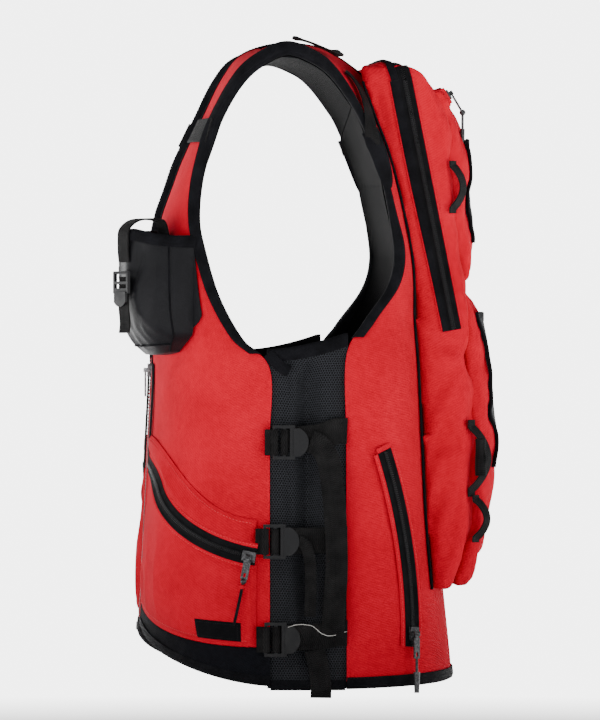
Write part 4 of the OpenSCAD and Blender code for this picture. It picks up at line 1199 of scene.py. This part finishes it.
# The tape runs on past the arc to the pocket's front edge
ahead = skin(0.09, 2.66, 4.8)
f = np.linspace(0, 1, 22)[:-1, None]
gap = np.linalg.norm(zip_mid[0] - ahead)
leave, arrive = unit(zip_mid[0] - ahead + np.array([0, 0, 6])) * gap, unit(zip_mid[1] - zip_mid[0]) * gap
lead = ((2 * f**3 - 3 * f**2 + 1) * ahead + (f**3 - 2 * f**2 + f) * leave
        + (3 * f**2 - 2 * f**3) * zip_mid[0] + (f**3 - f**2) * arrive)
zip_face = np.concatenate([unit(mix(outward(0.09, 2.72), zip_face[0], ease(f))), zip_face])
zip_mid = np.concatenate([lead, zip_mid])
# Where on the vest each point of the zip lies
us, ts = grid(160, 120)
us, ts = mix(0.05, 0.97, us), mix(1.0, 2.9, ts)
cloud = skin(us, ts, ON_PANEL)
near = tuple(np.array([np.unravel_index(np.argmin(((cloud - q) ** 2).sum(-1)), us.shape) for q in zip_mid]).T)
order = np.argsort(us[near])
zu, zt, zmid, zface = us[near][order], ts[near][order], zip_mid[order], zip_face[order]
smooth_t = np.poly1d(np.polyfit(zu, zt, 4))


def over_zip(table, u):
    return np.stack([np.interp(u, zu, table[:, k]) for k in range(3)], -1)


BELOW_ZIP = 0.6
a, b = grid(90, 90)
u = mix(0.066, 0.95, a)
tz = smooth_t(np.clip(u, zu[0], zu[-1])) - 0.9 * np.maximum(u - zu[-1], 0)
t_low, t_high = (facing_top(u) + 1) / STEP, cargo_top(u) / STEP
t = np.where(b < BELOW_ZIP, mix(t_low, tz, b / BELOW_ZIP),
             mix(tz, t_high, (b - BELOW_ZIP) / (1 - BELOW_ZIP)))
base, anchor = skin(u, t, ON_PANEL), skin(u, tz, ON_PANEL)
# The cloth follows the zip where it is near it, and swells below it
u_zip = np.clip(u, zu[0], zu[-1])
gone = over_zip(zmid - zface * 1.5, u_zip) - skin(u_zip, smooth_t(u_zip), ON_PANEL)
above = np.linalg.norm(base - anchor, axis=-1) * np.sign(t - tz)
span_low, span_high = (np.linalg.norm(skin(u, end, ON_PANEL) - anchor, axis=-1) for end in (t_low, t_high))
hold = np.where(above < 0, 1 - ease((-above - 8) / np.maximum(span_low - 10, 5)),
                1 - ease((above - 8) / np.maximum(span_high - 9, 4)))
edge_fade = ease(a / 0.03) * ease((1 - a) / 0.04)
low_part = np.clip(b / BELOW_ZIP, 0, 1)
puffed = 10.5 * np.sin(np.pi * a) ** 0.45 * np.sin(np.pi * low_part ** 0.85) ** 0.8 * (b < BELOW_ZIP)
p = base + gone * (hold * edge_fade)[..., None]
slack = ease(low_part / 0.1) * ease((1 - hold) / 0.4)
lift = 1.0 + puffed * (1 - 0.75 * hold) + (b >= BELOW_ZIP) * 0.4
lift = lift + slack * (0.9 * noise(p, 34, 30) + 0.8 * ridges(p * np.array([1, 1, 0.55]), 38, 31))
lift = folded(lift, p, (
    ((172, -74, 82), (120, -128, 60), 8, 2.2), ((186, -52, 100), (160, -96, 70), 6, 2.6),
    ((30, -152, 150), (70, -146, 95), 9, 2), ((184, -56, 74), (170, -84, 56), 5, 2),
    ((60, -150, 120), (74, -140, 76), 8, 1.4)), slack * 0.9)
lift = lift + crease(p, (81, -134, 228), (76, -137, 197), 5, 2.6) * (b > 0.66)
rim = np.minimum(np.minimum(a, 1 - a) * 170, np.minimum(b * 110, (1 - b) * 60))
lift = np.where(rim < 3, np.minimum(lift, 0.3 + rim * 0.5), lift)
top = p + outward(u, t) * lift[..., None]
top = settled(top.reshape(-1, 3), zip_mid, zip_face, 8.5, 9, 0.7, 16).reshape(top.shape)
top_n = grid_normals(top)
cargo = slab("cargo_pocket_cloth_left", top, skin(u, t, 3.0), RED)
twin = pair(cargo, "cargo_pocket_left")
cloth, teeth = zip_line("cargo_zip_left", zip_mid + zip_face * 0.3, zip_face, 17)
pair(cloth, "cargo_zip_left")
mirrored(teeth)


def both_lips(tag, path, normals, off, rise):
    """A lip on each side of a zip, on the left and the right of the vest."""
    for k, way in ((0, -off), (1, off)):
        edge, row = lip("%s_left_%d" % (tag, k), path - normals * 0.4, normals, way, rise)
        mirrored(edge, "%s_right_lip%d" % (tag, k))
        mirrored(row, "%s_right_thread%d" % (tag, k))


both_lips("cargo_zip", zip_mid, zip_face, 9.4, 0.6)
mirrored(stitches("cargo_top_thread_left", top[2:-2, 86], top_n[2:-2, 86], THREAD))
mirrored(stitches("cargo_low_thread_left", top[3:-3, 3], top_n[3:-3, 3], THREAD))


# Blank patch on the cargo pocket, laid on its cloth
def on_pocket(field, column, z):
    """A field of the pocket's cloth at a place between two of its columns, and at a height."""
    c = int(column)
    return sum(w * np.array([np.interp(z, top[k, :60, 2], field[k, :60, axis]) for axis in range(3)])
               for k, w in ((c, c + 1 - column), (c + 1, column - c)))


patch_u, patch_z = grid(30, 16)
column = np.interp(mix(0.66, 0.885, patch_u), u[:, 0], np.arange(len(u)))
places = np.stack([column, mix(50, 68, patch_z) - 4 * patch_u], -1)
out_n = top_n * np.sign((top_n * outward(u, t)).sum(-1, keepdims=True))
on, nn = (np.array([[on_pocket(field, *place) for place in row] for row in places]) for field in (top, out_n))
nn = unit(nn)
round_off = np.minimum(np.minimum(patch_u, 1 - patch_u) * 38, np.minimum(patch_z, 1 - patch_z) * 17)
patch = slab("blank_patch", on + nn * (0.5 + 0.7 * ease(round_off / 0.9))[..., None], on + nn * 0.1, PATCH)
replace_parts(patch, "label_patch")
ring_path, ring_n = (np.concatenate([g[2:-2, 2], g[-3, 2:-2], g[2:-2, -3][::-1], g[2, 2:-2][::-1]])
                     for g in (on, nn))
stitches("patch_thread", ring_path + ring_n * 1.2, ring_n, DARK_THREAD, pitch=2.4, long=1.7, wide=0.45)

# ---------------------------------------------------------------- chest pouch
nb = grid_normals(bag)
nb = nb * np.sign((nb * POUCH_OUT).sum(-1).mean())
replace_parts(slab("pouch_shell", bag, bag - nb * 1.2, NYLON, sharp=70), "chest_pouch")
a, b = grid(30, 30)
flat_u, flat_t = mix(0.35, 0.515, b) + mix(0.12, 0.4, ease(b * 3)) * (2 * a - 1), mix(4.8, 7.3, b)
slab("pouch_back", skin(flat_u, flat_t, 5.4), skin(flat_u, flat_t, 4.0), NYLON)
down = unit(bag[:, -4] - bag[:, -1])
wrap("pouch_rim_tape", bag[:, -1], down, square_to(nb[:, -1], down), 1.6, 2.8, 9.5)
for k, c in ((0, 9), (1, 60)):
    seam, n = bag[c, 5:-4], nb[c, 5:-4]
    sweep("pouch_side_seam%d" % k, seam + n * 0.3, across_of(seam, n), ring(0.9, 8), TAPE)
seam = resample(bag[9:61:3, 9] + nb[9:61:3, 9] * 0.4, 2)
sweep("pouch_low_seam", seam, (0, 0, 1), ring(0.9, 8), TAPE)
FOOT = skin(0.5, 6.6, ON_PANEL)


def on_pouch(*places):
    """Path in front of the pouch, through (out from the panel, height) pairs."""
    return resample([np.array([FOOT[0], FOOT[1], z]) + POUCH_OUT * out for out, z in places], 2)


loop = on_pouch((6, 431), (8, 439), (10, 446), (15, 451), (33, 451.5), (44, 448.5), (51.8, 441), (53, 431),
                (52.6, 418), (51.6, 410))
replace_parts(sweep("pouch_strap_web", loop, POUCH_SIDE, band(20, 1.7), WEB), "pouch_strap")
tail = on_pouch((51.3, 396), (51.5, 388), (52.2, 378), (52, 366), (50.6, 352), (51.6, 342))
sweep("pouch_strap_tail", tail, POUCH_SIDE, band(19.5, 1.7), WEB)
refine("pouch_lock", BUCKLE, 0.5)

# ---------------------------------------------------------------- side adjusters
UP = (0, 0, 1)
X_LOCK = W + 8
for name, (y0, z0), climb in (("top", (-33, 237), 11), ("middle", (-42, 142), 2), ("bottom", (-41, 48), 6)):
    for hand in ("left", "right"):
        refine("%s_lock_%s" % (name, hand), BUCKLE, 0.5, 3)
    g = np.radians(np.linspace(210, -60, 22))[2:]
    roll = np.stack([X_LOCK + 3.2 * np.cos(g), y0 + 3.2 * np.sin(g), 0 * g + z0], -1)
    anchor = resample([(W + 3.0, y0 - 8.6, z0), (W + 3.8, y0 - 6.2, z0), (X_LOCK - 2.6, y0 - 3.4, z0),
                       *roll], 1.2)
    mirrored(sweep(name + "_anchor_left", anchor, UP, band(25, 1.6), WEB))
    line = resample([(X_LOCK - 2.2, y0 + 13.2, z0), (W + 5.2, y0 + 24, z0 + climb * 0.25),
                     (W + 5.2, 12, z0 + climb * 0.5), (W + 4.2, 28, z0 + climb),
                     (W + 1.4, 37.5, z0 + climb)], 2)
    web = sweep(name + "_strap_left", line, UP, band(25, 1.7), WEB)
    if name == "top":
        pair(web, "side_straps_left")
    else:
        mirrored(web)
    g = np.radians(np.linspace(-35, 215, 20))
    over = np.stack([X_LOCK + 0.2 + 2.6 * np.sin(g), y0 + 9.8 - 2.9 * np.cos(g), 0 * g + z0], -1)
    mirrored(sweep(name + "_lock_web_left", over, UP, band(24.6, 1.5), WEB, name + "_lock_left"))
    ends = np.stack([np.full(30, W + 4.2), np.full(30, y0 - 7.6), np.linspace(z0 - 11, z0 + 11, 30)], -1)
    n = np.broadcast_to(OUTWARD, ends.shape)
    mirrored(stitches(name + "_anchor_thread_left0", ends, n, DARK_THREAD))


def tail_of(name, points, wide, start, turned):
    """Hanging end of a strap: its width points along start at the lock, and turned(z) further down."""
    line = resample([(W + x, y, z) for x, y, z in points], 2.5)
    z = line[:, 2]
    side = turned(z)
    if start:
        (direction, height, length) = start
        side = unit(mix(np.array(direction), side, ease((height - z) / length)[:, None]))
    mirrored(sweep(name + "_tail_left", line, side, band(wide, 1.7), WEB))


tail_of("top", ((8.5, 2, 238), (11, 10, 234), (12, 18, 222), (10.5, 23, 195), (9, 26, 160), (9.6, 27, 120),
                (8.8, 25, 85), (9.5, 23, 50)), 22, ((0.1, 0.35, 0.95), 238, 30),
        lambda z: unit(np.stack([0.25 * np.sin(z / 30), 1 + 0 * z, 0.4 + 0 * z], -1)))
tail_of("middle", ((8.5, -10, 143), (10.5, -3, 138), (11, 1, 124), (9.5, 2, 105), (9, 2, 86), (9.6, 1, 70)),
        11, ((0.1, 0.5, 0.85), 143, 26), lambda z: np.array([0.12, 1.0, 0.05]))
tail_of("bottom", ((5, 6, 38), (6.8, 10, 20), (6.2, 12, 4), (6, 12, -8)), 20, None, lambda z: (0.05, 1, 0.1))
fray = resample([(W + 12, -20, 60), (W + 9.6, -8, 62.5), (W + 8.2, 4, 60.5), (W + 11.4, 14, 53),
                 (W + 11.5, 24, 52), (W + 7, 37, 56)], 1.2)
fray[:, 2] += 0.5 * noise(fray, 3.5, 40)
PALE = plastic("pale_thread", (0.35, 0.34, 0.32), (0.6, 0.59, 0.56), 0.6, 0.2)
mirrored(sweep("frayed_edge_left", fray, UP, ring(0.3, 6), PALE))

# ---------------------------------------------------------------- back side pocket zips
HIP_AXIS = unit([0.795, 0.605, 0.051])
HIP_R = 447.7
HIP_AT = np.array([443.5, -255.5, 71.9]) + HIP_AXIS * 1.2
HIP_X, HIP_Y = spokes(HIP_AXIS, HIP_AT, (173, 101.5, 52.6))
g = np.radians(np.linspace(-1.6, 23, 120))[:, None]
path = HIP_AT + (HIP_X * np.cos(g) + HIP_Y * np.sin(g)) * HIP_R
n = np.broadcast_to(HIP_AXIS, path.shape)
cloth, teeth = zip_line("hip_zip_left", path + n * 0.2, n, 18)
pair(cloth, "hip_zip_left")
mirrored(teeth)
both_lips("hip_zip", path, n, 10.0, 0.5)
on = path[-1] - path[-2]
ends = np.linspace(-9, 9, 20)[:, None] * across_of(path, n)[-1] + path[-1] + on * 1.2
mirrored(sweep("hip_zip_left_top", ends, unit(on),
               [(-1.4, -0.9), (-1.3, 0.5), (0.4, 0.9), (2.6, 0.2), (3.4, -0.9)], RED))

# ---------------------------------------------------------------- rucksack trim
b = np.linspace(0.022, 1.0, 130)
path = pack_front(np.ones_like(b), b, 3.6) + np.array([0.6, 0.6, 0])
mirrored(sweep("pack_piping_left", path, (1, 0, 0), ring(1.35, 10), TAPE))
path, n = main_path, main_n
cloth, teeth = zip_line("main_zip_left", path + n * 0.2, n, 15, coil=5)
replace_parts(cloth, "pack_main_zip")
mirrored(cloth)
mirrored(teeth)
s = unit(np.cross(main_dir, main_out))
fore = s if s[1] < 0 else -s
wide = mix(3.0, 6.6, ease(main_f * 1.3))
flap_line = path + fore * (7.2 + wide / 2)[:, None] + n * 0.5
mirrored(sweep("main_flap_left", flap_line, s, tapered(band(2, 1.6, 0.3), wide / 2 + 1.2), TAPE))
mirrored(sweep("main_rear_lip_left", path - fore * 8.6, s, ring(0.8, 8, 0.7), RED))
edge = flap_line + fore * (wide / 2 + 1.6)[:, None] - n * 0.5
mirrored(sweep("main_front_lip_left", edge, s, ring(0.8, 8, 0.7), RED))
n = arch_n
zip_line("main_zip_top", arch, n, 15, coil=5)
over = across_of(arch, n)
over = over * np.where(over[:, 1:2] > 0, -1, 1)
sweep("main_top_flap", arch + over * 9.8 + n * 0.5, np.cross(n, heading(arch)), band(7.6, 1.6, 0.3), TAPE)

path, n = outer_path, outer_n
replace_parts(zip_line("outer_zip", path + n * 0.2, n, 12)[0], "pack_outer_zip")
for k, off in ((0, -6.8), (1, 6.8)):
    lip("outer_zip_%d" % k, path - n * 0.4, n, off, 0.6)
for k, x in ((0, -1.0), (1, 1.0)):
    cap = resample([(x * ZIP_HALF, 0, 1.2), (x * 95, 0, 1.0), (x * 97.5, 0, -2), (x * 98.8, 0, -8)], 1)
    cap = cap * [1, 0, 0] + outer_path[0] * [0, 1, 1] + cap[:, 2:] * OUTER_OUT
    sweep("outer_zip_end%d" % k, cap, np.cross(OUTER_OUT, OUTWARD), band(17, 1.4), RED)

for node, paint in (("front_slider", STEEL), ("front_puller", STEEL), ("pack_outer_slider", METAL),
                    ("pack_outer_puller", METAL), ("pack_main_slider", METAL), ("pack_main_puller", METAL)):
    refine(node, paint, 0.3)
for hand in ("left", "right"):
    for node in ("cargo_slider_", "cargo_puller_", "hip_slider_", "hip_puller_"):
        refine(node + hand, METAL, 0.3)

# Gear loops on the side seams, and the rolled keeper
for k, (x, y, z0, z1, bulge) in enumerate(((115, 147, 504, 463, 10), (128, 164, 251, 191, 16),
                                           (128, 168, 181, 144, 11))):
    f = np.linspace(-0.12, 1.12, 46)
    out = np.sin(np.pi * np.clip(f, 0, 1)) ** 0.8
    line = np.stack([x + 0 * f, y - 1 + bulge * out, mix(z0, z1, f)], -1)
    side = 0.8 * OUTWARD + 0.6 * np.cross(heading(line), OUTWARD)
    web = sweep("gear_loop_left%d" % k, line, side, band(12, 1.5), WEB)
    mirrored(web)
    if k == 0:
        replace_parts(web, "pack_webbing")
f = np.linspace(0, 1, 50)
keeper = np.stack([128 + 0 * f, 172 + 0 * f, mix(204, 240, f)], -1)
girth = (1 + 0.05 * np.sin(6 * f)) * np.where((f == 0) | (f == 1), 0.93, 1)
mirrored(sweep("gear_keeper_left", keeper, (1, 0, 0), tapered(ring(5.4, 26), girth, girth), WEB))

# Black net panels with bound edges, laid on the back faces of the two pockets
BEHIND = 400.0


def back_of(cloth):
    """A function that gives how far back a pocket's cloth reaches at (x, z)."""
    faces = [tuple(f.vertices) for f in cloth.data.polygons]
    tree = BVHTree.FromPolygons(points_of(cloth.data).tolist(), faces)

    def reach(x, z):
        starts = np.stack([x, 0 * x + BEHIND, z], -1).reshape(-1, 3).tolist()
        return np.array([tree.ray_cast(start, (0, -1, 0))[0].y for start in starts]).reshape(x.shape)
    return reach


def of_neighbours(y, combine):
    """Each value of a grid combined with the eight round it."""
    wide = np.pad(y, 1, mode="edge")
    n, m = y.shape
    return combine([wide[i:i + n, k:k + m] for i in range(3) for k in range(3)], axis=0)


def net_panel(tag, cloth, z0, z1, half):
    reach = back_of(cloth)
    a, b = grid(70, 50)
    x, z = mix(-half, half, a), mix(z0, z1, b)
    y = of_neighbours(of_neighbours(reach(x, z), np.max), np.mean)
    top = np.stack([x, y + 1.2, z], -1)
    slab(tag, top, top - np.array([0, 3.5, 0]), NET)
    up = np.linspace(z0, z1, 50)
    edges = (("tape", np.linspace(-half - 3, half + 3, 70), z1, 10, (0, 0, 1.0)),
             ("edge0", -half, up, 8, (1.0, 0, 0)), ("edge1", half, up, 8, (1.0, 0, 0)))
    for part, ex, ez, wide, side in edges:
        ex, ez = np.broadcast_arrays(ex, ez)
        y = np.max([reach(ex + k * side[0], ez + k * side[2]) for k in (-4, -2, 0, 2, 4)], axis=0)
        y = np.convolve(np.pad(y, 2, mode="edge"), np.ones(5) / 5, mode="valid")
        sweep(tag + "_" + part, np.stack([ex, y + 1.1, ez], -1), side, band(wide, 3), TAPE)


net_panel("lower_net", lower_pocket, 212, 358, 100)
net_panel("upper_net", outer_pocket, 430, 526, 84)

# ---------------------------------------------------------------- floor and light
FLOOR_HALF, FLOOR_Z, GLOW = 14, -0.06, 5.0
floor_mesh = bpy.data.meshes.new("floor")
corners = [(FLOOR_HALF * x, FLOOR_HALF * y, FLOOR_Z) for x, y in ((-1, -1), (1, -1), (1, 1), (-1, 1))]
floor_mesh.from_pydata(corners, [], [(0, 1, 2, 3)])
add("floor", floor_mesh)
ground = Paint("pale_floor", 0.9, 0, 0.1)
far = ground.node("ShaderNodeVectorMath", {0: ground.solid_coords()}, operation="LENGTH").outputs["Value"]
fade = ground.node("ShaderNodeMapRange", {0: far, 1: 0.35, 2: 1.3}).outputs[0]
grain = ground.noise(ground.solid_coords(), 3, 2)
ground.finish(ground.ramp(grain, [(0.3, (0.86, 0.86, 0.86)), (0.7, (0.89, 0.89, 0.89))]))
glow = ground.node("ShaderNodeEmission", {0: (1, 1, 1, 1), 1: GLOW})
blend = ground.node("ShaderNodeMixShader", {0: fade, 1: ground.bsdf.outputs[0], 2: glow.outputs[0]})
ground.put(blend.outputs[0], ground.t.nodes["Material Output"].inputs[0])
floor_mesh.materials.append(ground.m)

# A bright band of sky at eye level, and a dim one above and below it
world = bpy.data.worlds.new("studio")
world.use_nodes = True
sky = Nodes(world.node_tree)
ray = sky.node("ShaderNodeSeparateXYZ", {0: sky.node("ShaderNodeTexCoord").outputs["Generated"]})
strength = sky.node("ShaderNodeMapRange", {0: sky.math("ABSOLUTE", ray.outputs[2]), 1: 0.06, 2: 0.13, 3: GLOW,
                                           4: 0.16})
backdrop = sky.t.nodes["Background"]
sky.put(strength.outputs[0], backdrop.inputs[1])
backdrop.inputs[0].default_value = (1, 1, 1, 1)
bpy.context.scene.world = world

for name, at, size, power in (("key", (1.5, -1.5, 1.8), 0.6, 20), ("rear", (1.0, 1.9, 1.5), 0.6, 11),
                              ("far_side", (-1.8, -0.6, 1.3), 1.0, 9)):
    data = bpy.data.lights.new(name, "AREA")
    data.shape, data.size, data.energy = "DISK", size, power
    lamp = add(name, data)
    lamp.location = at
    lamp.rotation_euler = (Vector(at) - Vector((0, 0, 0.32))).to_track_quat("Z", "Y").to_euler()
